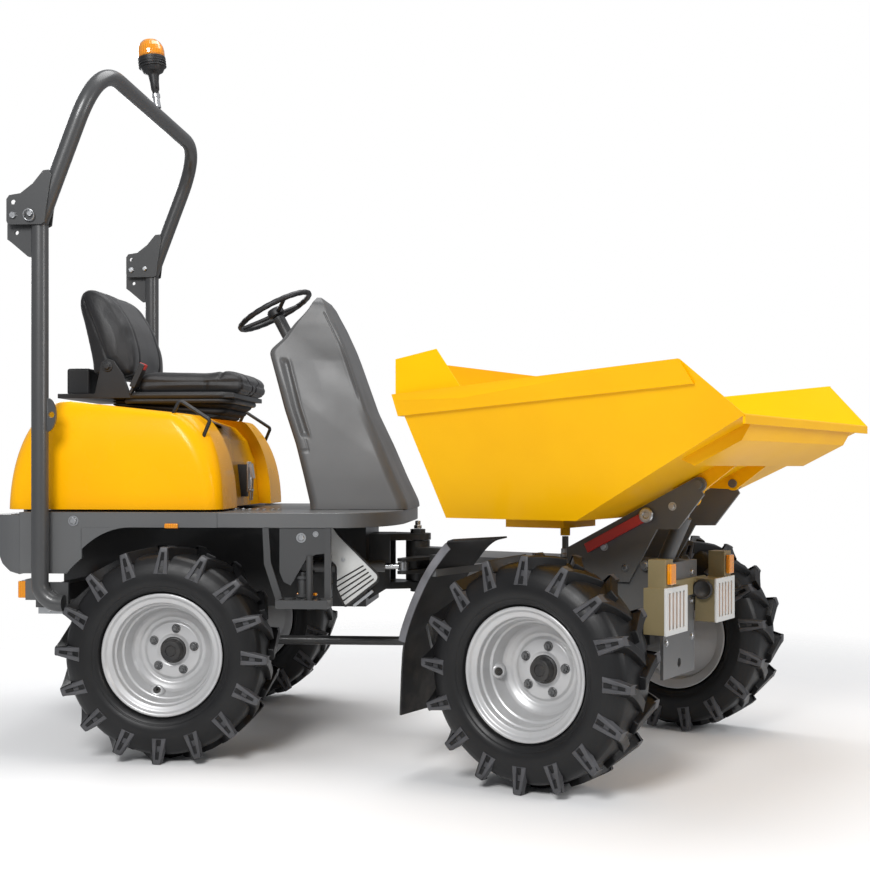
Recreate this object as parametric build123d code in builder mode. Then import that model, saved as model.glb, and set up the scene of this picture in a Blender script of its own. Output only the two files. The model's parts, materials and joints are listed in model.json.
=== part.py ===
"""Site dumper: a small articulated front-tip dumper, 1.5 t class, as an assembly of separate pieces.

Millimetres, +Z up.  The rear half points along +X and +Y is its left.  Pieces are drawn about the
articulation axis at ground level (x = y = 0); the front half is drawn straight ahead and then turned
about that axis by the parked steering angle.  At the end everything is moved so that the middle of the
whole machine's footprint is the origin.
"""

import os
from math import atan2, cos, hypot, pi, radians, sin, sqrt, tan

from build123d import *

os.makedirs("parts", exist_ok=True)

# ---------------------------------------------------------------- driving dimensions
STEER_PARKED = -27.8        # front half's angle about +Z as the machine stands
REAR_AXLE_X = -825
FRONT_AXLE_X = 875

# wheels
TYRE_RADIUS = 380           # out to the lugs' tips
TYRE_WIDTH = 250
TYRE_CENTRE_Y = 600
TYRE_FACETS = 30            # flat strips round the carcass
TREAD_RADIUS = 350          # between the lugs
LUG_COUNT = 16              # on each side of the tread
LUG_HALF_SPAN = 51          # round the tyre
LUG_FOOT_RADIUS = 308
RIM_FLANGE_RADIUS = 216
RIM_BARREL_RADIUS = 186
RIM_WALL = 7
RIM_WIDTH = 204
RIM_OUTER_Y = TYRE_CENTRE_Y + RIM_WIDTH / 2
HUB_FACE_Y = 553            # outer face of the wheel disc
HUB_CAP_RADIUS = 33

# axles
AXLE_Z = 380
AXLE_TUBE_RADIUS = 50
AXLE_STUB_RADIUS = 30
AXLE_PAD_Y = 170
AXLE_PAD_LENGTH = 120
AXLE_PAD_WIDTH = 50
DIFF_RADIUS = 105

# rear chassis
CHASSIS_HALF_WIDTH = 180
CHASSIS_PLATE = 16
CHASSIS_LOW_Z = 500
CHASSIS_REAR_X = -1380
CHASSIS_FRONT_X = -182
BEAM_SIZE = 60
BEAM_REAR_X = -1262         # cross beam that carries the roll bar
BODY_HALF_WIDTH = 600

# articulation
PIVOT_PIN_RADIUS = 20
EAR_RADIUS = 52
EAR_THICKNESS = 26
EAR_LOW_Z = 560
EAR_TOP_Z = 776
KNUCKLE_GAP = 3
PIN_CLEARANCE = 0.3

# deck, skirts and steps
DECK_TOP_Z = 876
DECK_HEIGHT = 54
DECK_FRONT_X = -25
DECK_FRONT_HALF_WIDTH = 180
DECK_CORNER_X = -230        # where the sides start to curve in to the nose
DECK_REAR_X = -655
SHEET = 6
ARCH_RADIUS = 455
STEP_REAR_X = -430
STEP_FRONT_X = -245
STEP_LOW_Z = 542
STEP_TREAD = 30
STEP_POST_X = -322
PANEL_Y = -450              # blank panel under the deck's right side
PANEL_THICKNESS = 5

# roll bar
TUBE_RADIUS = 30
POST_STANDOFF = 38          # from the body's side to the post's centre line
ROPS_HALF_WIDTH = BODY_HALF_WIDTH + POST_STANDOFF
POST_X = -1288
POST_TOP_Z = 1902
POST_BEND = 75
POST_FOOT_Z = 552
HINGE_X = -1374
HINGE_Z = 1932
LOCK_X = -1309
LOCK_Z = 1937
HOOP_FOOT_X = -1252
HOOP_FOOT_Z = 1925
HOOP_LEAN = 18              # degrees forward from upright
HOOP_LENGTH = 602           # along the lean, from foot to the cross tube's centre
HOOP_BEND = 145
HINGE_PLATE = 8
HINGE_WEB = 12
HINGE_SLOT = 2
HINGE_BOLT_RADIUS = 8
FOLD_HOLE_RADIUS = 8
EYE_HOLE_RADIUS = 11

# hood and seat
HOOD_LOW_Z = 884
HOOD_WALL = 5
HOOD_HINGE_X = -1465        # line that the hood opens about
HOOD_HINGE_Z = 872
HOOD_HINGE_Y = 300
HOOD_PIN_RADIUS = 7
HOOD_BUFFER_X = -669
HOOD_LOBE_Y = 290           # inner side of the two front lobes
HANDLE_Y = 495
HOOD_TOP_X = -884
HOOD_TOP_Z = 1243
HOOD_SLOPE = 6.3            # degrees, down to the front
SEAT_PAN_Z = 1306
SEAT_PAN = 18
SEAT_HALF_WIDTH = 220
CUSHION_TOP_Z = 1412
CUSHION_FRONT_X = -648
CUSHION_REAR_X = -1086
BRACKET_THICKNESS = 12
SEAT_GAP = 0.4

# console and steering wheel
WHEEL_X = -578
WHEEL_Z = 1666
WHEEL_TILT = 28             # degrees that the wheel's axis leans back
WHEEL_RIM_RADIUS = 153
WHEEL_TUBE_RADIUS = 12
WHEEL_HUB_RADIUS = 34
WHEEL_SHAFT_RADIUS = 9
COLUMN_RADIUS = 24
COLUMN_DROP = 28            # from the steering wheel's plane to the top of the column
COLUMN_LENGTH = 190

# front chassis
FRONT_HALF_WIDTH = 165
FRONT_LOW_Z = 520
FRONT_TOP_Z = 704
FRONT_REAR_X = 165
FRONT_FRONT_X = 1111
NECK_HALF_WIDTH = 45
NECK_LOW_Z = 622
NECK_TOP_Z = 722
ARM_THICKNESS = 12
ARM_Y = FRONT_HALF_WIDTH + ARM_THICKNESS / 2
ARM_FOOT_Z = 640
TIP_X = 1253
TIP_Z = 980
TIP_PIN_RADIUS = 15
TIP_BOSS_RADIUS = 25
TOW_PLATE_LOW_Z = 305
TOW_HOLE_Z = 350
TOW_HOLE_RADIUS = 16

# skip
SKIP_LOW_Z = 862
SKIP_REAR_LOW_X = 455
SKIP_FLOOR_X = 958
SKIP_REAR_TOP_X = 394
SKIP_REAR_TOP_Z = 1282
SKIP_FRONT_TOP_X = 1423
SKIP_FRONT_TOP_Z = 1353
SKIP_LIP_X = 1591
SKIP_LIP_Z = 1190
SKIP_LOW_HALF_WIDTH = 500
SKIP_FLARE = 0.52           # half width gained for each unit of height
SKIP_WALL = 5
SKIP_BAND = 10
SKIP_BAND_HEIGHT = 72
HEADBOARD_TOP_Z = 1400
EAR_PLATE = 12
EAR_GAP = 4

# cylinders: where they are pinned, in the straight machine
TIP_CYL_BASE = (990, 560)           # x, z
TIP_CYL_LUG_REACH = 110             # from the skip's pivot
TIP_CYL_LUG_ANGLE = 210
TIP_CYL_BARREL_RADIUS = 28
TIP_CYL_ROD_RADIUS = 16
TIP_CYL_BARREL_LENGTH = 335
STEER_CYL_BASE = (-400, -260)       # x, y
STEER_CYL_LUG = (70, -205)
STEER_CYL_Z = 660
STEER_CYL_BARREL_RADIUS = 22
STEER_CYL_ROD_RADIUS = 11
STEER_CYL_BARREL_LENGTH = 300
ROD_RETRACT = 30            # room left behind a rod as the machine stands
EYE_WIDTH = 30
EYE_RADIUS = 20
EYE_PIN_RADIUS = 9
CLEVIS_PLATE = 12
CLEVIS_GAP = 3

# propshaft
SHAFT_RADIUS = 18
SHAFT_Z = 345
SHAFT_JOINT_GAP = 30
SHAFT_JOINT_RADIUS = 16

# lamps
LAMP_Y = 227
LAMP_WIDTH = 186
LAMP_LOW_Z = 481
LAMP_HEIGHT = 158
LAMP_FRONT_X = 1190
SIGNAL_WIDTH = 64
SIGNAL_HEIGHT = 96


def outline(plane, points):
    """Closed straight-sided face through the points, on a plane."""
    with BuildSketch(plane) as drawn:
        with BuildLine():
            Polyline(*points, close=True)
        make_face()
    return drawn.sketch


def side_view(y):
    """Plane of an x-z outline at a given y; it extrudes towards -Y."""
    return Plane.XZ.offset(-y)


def end_view(x):
    """Plane of a y-z outline at a given x; it extrudes towards +X."""
    return Plane.YZ.offset(x)


finished = []


def keep(piece, name, turned=False):
    """Label a piece, steer it with the front half where it belongs to it, and list it for export."""
    solid = piece.part
    if turned:
        solid = solid.rotate(Axis.Z, STEER_PARKED)
    solid.label = name
    finished.append(solid)


# ---------------------------------------------------------------- rear chassis
CHASSIS_TOP_Z = DECK_TOP_Z - SHEET
pivot_low_z = EAR_LOW_Z + EAR_THICKNESS
pivot_top_z = EAR_TOP_Z - EAR_THICKNESS
boss_low_z = pivot_low_z + KNUCKLE_GAP
boss_top_z = pivot_top_z - KNUCKLE_GAP
gusset_y = 88
gusset_nose_x = -100
beam_z = CHASSIS_LOW_Z + 50 + BEAM_SIZE / 2
chassis_middle_z = (CHASSIS_LOW_Z + CHASSIS_TOP_Z) / 2
clevis_offset = EYE_WIDTH / 2 + CLEVIS_GAP + CLEVIS_PLATE / 2
lamp_housing_x = -1345
lamp_housing_y = 550

with BuildPart() as rear_chassis:
    for side in (-1, 1):
        extrude(outline(side_view(side * (CHASSIS_HALF_WIDTH - CHASSIS_PLATE / 2) + CHASSIS_PLATE / 2),
                        [(CHASSIS_REAR_X, CHASSIS_LOW_Z), (CHASSIS_FRONT_X, CHASSIS_LOW_Z),
                         (CHASSIS_FRONT_X, CHASSIS_TOP_Z), (CHASSIS_REAR_X, CHASSIS_TOP_Z)]),
                amount=CHASSIS_PLATE)
        extrude(outline(side_view(side * gusset_y + CHASSIS_PLATE / 2),
                        [(CHASSIS_FRONT_X - CHASSIS_PLATE, EAR_LOW_Z - 40),
                         (CHASSIS_FRONT_X, EAR_LOW_Z - 40), (gusset_nose_x, EAR_LOW_Z + 10),
                         (gusset_nose_x, EAR_TOP_Z), (CHASSIS_FRONT_X - CHASSIS_PLATE, EAR_TOP_Z)]),
                amount=CHASSIS_PLATE)
    # rear and front cross plates, and the members that carry the engine
    for plate_x in (CHASSIS_REAR_X + CHASSIS_PLATE / 2, CHASSIS_FRONT_X - CHASSIS_PLATE / 2):
        with Locations((plate_x, 0, chassis_middle_z)):
            Box(CHASSIS_PLATE, 2 * CHASSIS_HALF_WIDTH, CHASSIS_TOP_Z - CHASSIS_LOW_Z)
    for member_x in (-1190, -900, -420):
        with Locations((member_x, 0, CHASSIS_LOW_Z + BEAM_SIZE / 2)):
            Box(BEAM_SIZE, 2 * CHASSIS_HALF_WIDTH - CHASSIS_PLATE, BEAM_SIZE)
    # beam across the back for the roll bar's feet
    with Locations((BEAM_REAR_X, 0, beam_z)):
        Box(BEAM_SIZE, 2 * BODY_HALF_WIDTH, BEAM_SIZE)
    # deck bearers out to both sides
    for bearer_x in (-560, -280):
        with Locations((bearer_x, 0, CHASSIS_TOP_Z - 20)):
            Box(30, 2 * (BODY_HALF_WIDTH - 4 * SHEET), 40)
    # rear lamp housings on brackets from the beam
    for side in (-1, 1):
        with Locations((lamp_housing_x, side * lamp_housing_y, beam_z + 15)):
            Box(40, 66, 75)
        with Locations(((lamp_housing_x + BEAM_REAR_X) / 2, side * lamp_housing_y, beam_z)):
            Box(BEAM_REAR_X - lamp_housing_x - 20, 40, 30)
    # ears of the articulation
    for ear_z in (EAR_LOW_Z, pivot_top_z):
        with BuildSketch(Plane.XY.offset(ear_z)):
            Circle(EAR_RADIUS)
            with BuildLine():
                Polyline((CHASSIS_FRONT_X - CHASSIS_PLATE / 2, -gusset_y),
                         (CHASSIS_FRONT_X - CHASSIS_PLATE / 2, gusset_y), (gusset_nose_x, gusset_y),
                         (0, EAR_RADIUS), (0, -EAR_RADIUS), (gusset_nose_x, -gusset_y), close=True)
            make_face()
        extrude(amount=EAR_THICKNESS)
    # pivot pin with a hexagon at each end
    with BuildSketch(Plane.XY.offset(EAR_LOW_Z)):
        Circle(PIVOT_PIN_RADIUS)
    extrude(amount=EAR_TOP_Z - EAR_LOW_Z)
    for head_z in (EAR_LOW_Z - 16, EAR_TOP_Z):
        with BuildSketch(Plane.XY.offset(head_z)):
            RegularPolygon(radius=30, side_count=6)
        extrude(amount=16)
    # clevis of the steering cylinder, with its pin
    for offset_z in (-clevis_offset, clevis_offset):
        with BuildSketch(Plane.XY.offset(STEER_CYL_Z + offset_z - CLEVIS_PLATE / 2)):
            with Locations(STEER_CYL_BASE):
                Circle(24)
            with BuildLine():
                Polyline((STEER_CYL_BASE[0] - 50, -CHASSIS_HALF_WIDTH + CHASSIS_PLATE / 2),
                         (STEER_CYL_BASE[0] - 24, STEER_CYL_BASE[1]),
                         (STEER_CYL_BASE[0] + 24, STEER_CYL_BASE[1]),
                         (STEER_CYL_BASE[0] + 50, -CHASSIS_HALF_WIDTH + CHASSIS_PLATE / 2), close=True)
            make_face()
        extrude(amount=CLEVIS_PLATE)
    with Locations((*STEER_CYL_BASE, STEER_CYL_Z)):
        Cylinder(EYE_PIN_RADIUS, 2 * clevis_offset + CLEVIS_PLATE + 16)
keep(rear_chassis, "rear_chassis")


def axle(axle_x, pad_top_z):
    """Rigid axle: tube, stubs for the wheels, a round differential and two spring-less pads."""
    with BuildPart() as made:
        for radius, half_length in ((AXLE_TUBE_RADIUS, HUB_FACE_Y - 14), (AXLE_STUB_RADIUS, HUB_FACE_Y + 30)):
            with BuildSketch(side_view(half_length)):
                with Locations((axle_x, AXLE_Z)):
                    Circle(radius)
            extrude(amount=2 * half_length)
        with Locations((axle_x, 0, AXLE_Z)):
            Sphere(DIFF_RADIUS)
        for side in (-1, 1):
            with Locations((axle_x, side * AXLE_PAD_Y, (pad_top_z + AXLE_Z) / 2)):
                Box(AXLE_PAD_LENGTH, AXLE_PAD_WIDTH, pad_top_z - AXLE_Z)
    return made


rear_axle = axle(REAR_AXLE_X, CHASSIS_LOW_Z)
keep(rear_axle, "rear_axle")

front_axle = axle(FRONT_AXLE_X, FRONT_LOW_Z)
keep(front_axle, "front_axle", turned=True)

with BuildPart() as engine_block:
    with Locations((-1045, 0, CHASSIS_LOW_Z + BEAM_SIZE + 265)):
        Box(350, 290, 530)
keep(engine_block, "engine_block")

with BuildPart() as propshaft_rear:
    with BuildSketch(Plane.YZ.offset(REAR_AXLE_X)):
        with Locations((0, SHAFT_Z)):
            Circle(SHAFT_RADIUS)
    extrude(amount=-REAR_AXLE_X - SHAFT_JOINT_GAP)
    with BuildSketch(Plane.YZ.offset(-SHAFT_JOINT_GAP)):
        with Locations((0, SHAFT_Z)):
            Circle(SHAFT_JOINT_RADIUS * 0.7)
    extrude(amount=SHAFT_JOINT_GAP)
    with Locations((0, 0, SHAFT_Z)):
        Sphere(SHAFT_JOINT_RADIUS)
    with Locations((REAR_AXLE_X, 0, AXLE_Z)):
        Sphere(DIFF_RADIUS + PIN_CLEARANCE, mode=Mode.SUBTRACT)
keep(propshaft_rear, "propshaft_rear")

with BuildPart() as propshaft_front:
    with BuildSketch(Plane.YZ.offset(SHAFT_JOINT_GAP)):
        with Locations((0, SHAFT_Z)):
            Circle(SHAFT_RADIUS)
    extrude(amount=FRONT_AXLE_X - SHAFT_JOINT_GAP)
    with Locations((FRONT_AXLE_X, 0, AXLE_Z)):
        Sphere(DIFF_RADIUS + PIN_CLEARANCE, mode=Mode.SUBTRACT)
keep(propshaft_front, "propshaft_front", turned=True)

# ---------------------------------------------------------------- bodywork of the rear half
hood_seat_z = HOOD_LOW_Z - SEAT_GAP

with BuildPart() as counterweight:
    extrude(outline(side_view(BODY_HALF_WIDTH),
                    [(CHASSIS_REAR_X, DECK_TOP_Z - 10), (-1494, DECK_TOP_Z - 10), (-1488, 750),
                     (-1450, 690), (-1415, 662), (CHASSIS_REAR_X, 652)]),
            amount=2 * BODY_HALF_WIDTH)
    with BuildSketch(Plane.XY.offset(600)):
        with Locations((-1494 + 400, 0)):
            RectangleRounded(800, 2 * BODY_HALF_WIDTH, 95)
    extrude(amount=300, mode=Mode.INTERSECT)
    # seats that the hood's rear edge turns on
    with Locations((HOOD_HINGE_X, -HOOD_HINGE_Y, (DECK_TOP_Z - 12 + hood_seat_z) / 2),
                   (HOOD_HINGE_X, HOOD_HINGE_Y, (DECK_TOP_Z - 12 + hood_seat_z) / 2)):
        Box(28, 60, hood_seat_z - DECK_TOP_Z + 12)
    for side in (-1, 1):
        with Locations(Location((HOOD_HINGE_X, side * HOOD_HINGE_Y, HOOD_HINGE_Z), (90, 0, 0))):
            Cylinder(HOOD_PIN_RADIUS, 90)
keep(counterweight, "counterweight")

with BuildPart() as side_skirts:
    for side in (-1, 1):
        with BuildSketch(side_view(side * (BODY_HALF_WIDTH - SHEET) + SHEET)):
            with BuildLine():
                Polyline((CHASSIS_REAR_X, 655), (-1150, 655), (-1150, DECK_TOP_Z - DECK_HEIGHT),
                         (DECK_REAR_X, DECK_TOP_Z - DECK_HEIGHT), (DECK_REAR_X, DECK_TOP_Z),
                         (CHASSIS_REAR_X, DECK_TOP_Z), close=True)
            make_face()
            with Locations((REAR_AXLE_X, AXLE_Z)):
                Ellipse(ARCH_RADIUS + 35, DECK_TOP_Z - DECK_HEIGHT - AXLE_Z, mode=Mode.SUBTRACT)
        extrude(amount=2 * SHEET)
        skirt_width = BODY_HALF_WIDTH - CHASSIS_HALF_WIDTH + CHASSIS_PLATE
        with Locations(((CHASSIS_REAR_X + DECK_REAR_X) / 2,
                        side * (BODY_HALF_WIDTH - skirt_width / 2), DECK_TOP_Z - SHEET / 2)):
            Box(DECK_REAR_X - CHASSIS_REAR_X, skirt_width, SHEET)
        # buffer under the hood's front edge
        with Locations((HOOD_BUFFER_X, side * HOOD_HINGE_Y, (DECK_TOP_Z - 2 + hood_seat_z) / 2)):
            Box(24, 60, hood_seat_z - DECK_TOP_Z + 2)
keep(side_skirts, "side_skirts")


def deck_plan(inset, rear_x):
    """Plan of the deck at its lower edge: straight sides, then a quarter ellipse at each front corner."""
    with BuildSketch(Plane.XY.offset(DECK_TOP_Z - DECK_HEIGHT)) as plan:
        with Locations(((rear_x + DECK_CORNER_X) / 2, 0)):
            Rectangle(DECK_CORNER_X - rear_x, 2 * (BODY_HALF_WIDTH - inset))
        with Locations(((DECK_CORNER_X + DECK_FRONT_X - inset) / 2, 0)):
            Rectangle(DECK_FRONT_X - inset - DECK_CORNER_X, 2 * DECK_FRONT_HALF_WIDTH)
        with Locations((DECK_CORNER_X, -DECK_FRONT_HALF_WIDTH), (DECK_CORNER_X, DECK_FRONT_HALF_WIDTH)):
            Ellipse(DECK_FRONT_X - DECK_CORNER_X - inset, BODY_HALF_WIDTH - DECK_FRONT_HALF_WIDTH - inset)
    return plan.sketch


with BuildPart() as deck:
    extrude(deck_plan(0, DECK_REAR_X), amount=DECK_HEIGHT)
    extrude(deck_plan(SHEET, DECK_REAR_X - 1), amount=DECK_HEIGHT - SHEET, mode=Mode.SUBTRACT)
keep(deck, "deck")

step_plate_y = BODY_HALF_WIDTH - SHEET
tread_depth = 105
tread_y = step_plate_y - 34 + tread_depth / 2

with BuildPart() as steps:
    for side in (-1, 1):
        hang_y = side * (step_plate_y - 4)
        extrude(outline(side_view(hang_y + 4),
                        [(STEP_REAR_X, 665), (-415, 630), (-390, 618), (-360, 668), (-336, 710), (-300, 728),
                         (STEP_FRONT_X, 734), (STEP_FRONT_X, DECK_TOP_Z - SHEET - 4),
                         (STEP_REAR_X, DECK_TOP_Z - SHEET - 4)]),
                amount=8)
        with Locations((STEP_POST_X, side * step_plate_y, (STEP_LOW_Z + 725) / 2)):
            Cylinder(12, 725 - STEP_LOW_Z - 4)
        arm_top_z = DECK_TOP_Z - DECK_HEIGHT
        extrude(outline(side_view(side * (step_plate_y + 4) + 4),
                        [(-490, arm_top_z), (-468, arm_top_z), (-460, 700), (-412, STEP_LOW_Z + 10),
                         (-438, STEP_LOW_Z + 10), (-484, 694)]),
                amount=8)
        extrude(outline(side_view(side * (step_plate_y + 4) + 4),
                        [(STEP_FRONT_X - 22, STEP_LOW_Z + 10), (STEP_FRONT_X, STEP_LOW_Z + 10),
                         (STEP_FRONT_X, arm_top_z), (STEP_FRONT_X - 22, arm_top_z)]),
                amount=8)
        with BuildSketch(Plane.XY.offset(STEP_LOW_Z)):
            with Locations(((STEP_REAR_X + STEP_FRONT_X) / 2, side * tread_y)):
                Rectangle(STEP_FRONT_X - STEP_REAR_X, tread_depth)
                with GridLocations(44, 0, 4, 1):
                    Rectangle(32, tread_depth - 24, mode=Mode.SUBTRACT)
        extrude(amount=STEP_TREAD)
keep(steps, "steps")

with BuildPart() as side_panel:
    extrude(outline(side_view(PANEL_Y + PANEL_THICKNESS / 2),
                    [(-292, CHASSIS_TOP_Z - 40), (-280, 700), (-252, 677), (-252, 596), (-219, 527),
                     (-97, 623), (-94, 645), (-138, 688), (-241, 790), (-268, CHASSIS_TOP_Z - 40)]),
            amount=PANEL_THICKNESS)
keep(side_panel, "side_panel")

with BuildPart() as rear_lamps:
    for side in (-1, 1):
        with Locations((lamp_housing_x - 35, side * lamp_housing_y, beam_z + 15)):
            Box(30, 60, 62)
        with Locations((-820, side * (BODY_HALF_WIDTH + 4), 828)):
            Box(50, 8, 18)
keep(rear_lamps, "rear_lamps")

# ---------------------------------------------------------------- roll bar
with BuildPart() as rops_posts:
    for side in (-1, 1):
        side_y = side * ROPS_HALF_WIDTH
        with BuildLine() as post_path:
            FilletPolyline((POST_X + 88, side_y, POST_FOOT_Z), (POST_X, side_y, POST_FOOT_Z),
                           (POST_X, side_y, POST_TOP_Z), radius=POST_BEND)
        with BuildSketch(Plane(origin=post_path.wire() @ 0, z_dir=post_path.wire() % 0)):
            Circle(TUBE_RADIUS)
        sweep(path=post_path.wire())
        # foot plate against the beam's end
        foot_plate = POST_STANDOFF - TUBE_RADIUS + 10
        with Locations((POST_X + 36, side * (BODY_HALF_WIDTH + foot_plate / 2), beam_z)):
            Box(120, foot_plate, 90)
        # web that the folding part turns on, with a hole for the folded position
        with BuildSketch(side_view(side_y + HINGE_WEB / 2)):
            with BuildLine():
                Polyline((POST_X + 22, 1790), (POST_X + 22, POST_TOP_Z), (POST_X - 2, POST_TOP_Z + 8),
                         (POST_X - 2, HINGE_Z + 30), (HINGE_X - 24, HINGE_Z + 30),
                         (HINGE_X - 32, HINGE_Z + 18), (HINGE_X - 32, HINGE_Z - 80),
                         (HINGE_X - 18, HINGE_Z - 90), (POST_X - 42, 1790), close=True)
            make_face()
            with Locations((HINGE_X + 2, HINGE_Z - 56)):
                Circle(FOLD_HOLE_RADIUS, mode=Mode.SUBTRACT)
        extrude(amount=HINGE_WEB)
        # hinge bolt with its heads
        with Locations(Location((HINGE_X, side_y, HINGE_Z), (90, 0, 0))):
            Cylinder(HINGE_BOLT_RADIUS, HINGE_WEB + 2 * (HINGE_SLOT + HINGE_PLATE) + 1)
        for end in (-1, 1):
            head_y = side_y + end * (HINGE_WEB / 2 + HINGE_SLOT + HINGE_PLATE + 5.5)
            with Locations(Location((HINGE_X, head_y, HINGE_Z), (90, 0, 0))):
                Cylinder(15, 10)
        # lifting eye
        with BuildSketch(side_view(side_y + HINGE_WEB / 2)):
            with Locations((POST_X + 26, 1225)):
                Ellipse(34, 61)
            with Locations((POST_X + 44, 1225)):
                Circle(EYE_HOLE_RADIUS, mode=Mode.SUBTRACT)
        extrude(amount=HINGE_WEB)
keep(rops_posts, "rops_posts")

lean = radians(HOOP_LEAN)
hoop_plane = Plane(origin=(HOOP_FOOT_X, 0, HOOP_FOOT_Z), x_dir=(0, 1, 0), z_dir=(cos(lean), 0, -sin(lean)))
cross_x = HOOP_FOOT_X + HOOP_LENGTH * sin(lean)
cross_z = HOOP_FOOT_Z + HOOP_LENGTH * cos(lean)
beacon_x = cross_x - TUBE_RADIUS - 16

with BuildPart() as rops_hoop:
    with BuildLine(hoop_plane) as hoop_path:
        FilletPolyline((-ROPS_HALF_WIDTH, 0), (-ROPS_HALF_WIDTH, HOOP_LENGTH),
                       (ROPS_HALF_WIDTH, HOOP_LENGTH), (ROPS_HALF_WIDTH, 0), radius=HOOP_BEND)
    with BuildSketch(Plane(origin=hoop_path.wire() @ 0, z_dir=hoop_path.wire() % 0)):
        Circle(TUBE_RADIUS)
    sweep(path=hoop_path.wire())
    plate_offset = HINGE_WEB / 2 + HINGE_SLOT + HINGE_PLATE / 2
    for side in (-1, 1):
        for end in (-1, 1):
            with BuildSketch(side_view(side * ROPS_HALF_WIDTH + end * plate_offset + HINGE_PLATE / 2)):
                with BuildLine():
                    Polyline((HINGE_X - 26, POST_TOP_Z + 6), (HINGE_X - 26, HINGE_Z + 76),
                             (HINGE_X - 12, HINGE_Z + 86), (HINGE_X + 20, HINGE_Z + 80),
                             (-1262, HINGE_Z + 158), (-1222, HINGE_Z + 100), (-1238, POST_TOP_Z + 6),
                             close=True)
                make_face()
                with Locations((HINGE_X, HINGE_Z)):
                    Circle(HINGE_BOLT_RADIUS + PIN_CLEARANCE, mode=Mode.SUBTRACT)
                with Locations((HINGE_X - 2, HINGE_Z + 56)):
                    Circle(FOLD_HOLE_RADIUS, mode=Mode.SUBTRACT)
                with Locations((LOCK_X, LOCK_Z)):
                    Circle(7 + PIN_CLEARANCE, mode=Mode.SUBTRACT)
            extrude(amount=HINGE_PLATE)
    # spigot for the beacon
    with Locations(((beacon_x + cross_x) / 2, 0, cross_z)):
        Box(cross_x - beacon_x, 16, 14)
    with BuildSketch(Plane.XY.offset(cross_z - 7)):
        with Locations((beacon_x, 0)):
            Circle(9)
    extrude(amount=70)
keep(rops_hoop, "rops_hoop")

with BuildPart() as rops_pins:
    for side in (-1, 1):
        outer_y = side * (ROPS_HALF_WIDTH + HINGE_WEB / 2 + HINGE_SLOT + HINGE_PLATE)
        with Locations(Location((LOCK_X, outer_y + side * 1, LOCK_Z), (90, 0, 0))):
            Cylinder(7, 2 * HINGE_PLATE + 4)
        with Locations(Location((LOCK_X, outer_y + side * 6, LOCK_Z), (90, 0, 0))):
            Cylinder(15, 10)
keep(rops_pins, "rops_pins")

with BuildPart() as beacon_base:
    with BuildSketch(Plane.XZ):
        with BuildLine():
            Polyline((9 + PIN_CLEARANCE, cross_z + 30), (16, cross_z + 30), (34, cross_z + 172),
                     (50, cross_z + 190), (50, cross_z + 250), (0, cross_z + 250), (0, cross_z + 64),
                     (9 + PIN_CLEARANCE, cross_z + 64), close=True)
        make_face()
    revolve(axis=Axis.Z)
beacon_base.part = beacon_base.part.moved(Location((beacon_x, 0, 0)))
keep(beacon_base, "beacon_base")

with BuildPart() as beacon_lens:
    with BuildSketch(Plane.XZ):
        with BuildLine():
            Polyline((0, cross_z + 250), (47, cross_z + 250), (46, cross_z + 290), (36, cross_z + 305),
                     (0, cross_z + 308), close=True)
        make_face()
    revolve(axis=Axis.Z)
beacon_lens.part = beacon_lens.part.moved(Location((beacon_x, 0, 0)))
keep(beacon_lens, "beacon_lens")

# ---------------------------------------------------------------- hood and seat
# sections of the hood: height, rear x, front x, half width, corner radius
HOOD_SECTIONS = (
    (HOOD_LOW_Z, -1459, -660, 550, 60),
    (1060, -1440, -681, 548, 75),
    (1173, -1405, -728, 535, 95),
    (1300, -1300, -880, 475, 110),
)
# floor of the hollow between the front lobes: x, z
HOOD_HOLLOW = ((-707, HOOD_LOW_Z - 10), (-728, 1060), (-762, 1150), (-812, 1205), (-890, 1232), (-960, 1262))


def hood_form(inset, extra_low):
    """Dome of the hood with two front lobes, drawn in by the inset all round and lowered at the bottom."""
    with BuildPart() as made:
        for height, rear_x, front_x, half_width, corner in HOOD_SECTIONS:
            drop = extra_low if height == HOOD_LOW_Z else 0
            with BuildSketch(Plane.XY.offset(height - drop)):
                with Locations(((rear_x + front_x) / 2, 0)):
                    RectangleRounded(front_x - rear_x - 2 * inset, 2 * (half_width - inset), corner - inset)
        loft()
        slope = radians(HOOD_SLOPE)
        split(bisect_by=Plane(origin=(HOOD_TOP_X, 0, HOOD_TOP_Z - inset), z_dir=(sin(slope), 0, cos(slope))),
              keep=Keep.BOTTOM)
        fillet(made.faces().sort_by(Axis.Z)[-1].edges(), 42 - inset)
        extrude(outline(side_view(HOOD_LOBE_Y + inset),
                        [(x - inset, z - inset) for x, z in HOOD_HOLLOW]
                         + [(-600, 1262), (-600, HOOD_LOW_Z - 20)]),
                amount=2 * (HOOD_LOBE_Y + inset), mode=Mode.SUBTRACT)
    return made.part


hood_outside = hood_form(0, 0)
hood_inside = hood_form(HOOD_WALL, 1)

with BuildPart() as hood:
    add(hood_outside)
    add(hood_inside, mode=Mode.SUBTRACT)
    # opening under the front of the seat
    with BuildSketch(Plane.XY.offset(1100)):
        with Locations((-845, 0)):
            Ellipse(42, 95)
    extrude(amount=200, mode=Mode.SUBTRACT)
keep(hood, "hood")


def hood_top_z(x):
    """Height of the hood's sloping top at x."""
    return HOOD_TOP_Z - (x - HOOD_TOP_X) * tan(radians(HOOD_SLOPE))


with BuildPart() as seat_bellows:
    extrude(outline(side_view(190),
                    [(-1190, hood_top_z(-1190) + SEAT_GAP), (-780, hood_top_z(-780) + SEAT_GAP),
                     (-702, 1262), (-692, SEAT_PAN_Z), (-1190, SEAT_PAN_Z)]),
            amount=380)
keep(seat_bellows, "seat_bellows")

bracket_y = SEAT_HALF_WIDTH + SEAT_GAP

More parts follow.
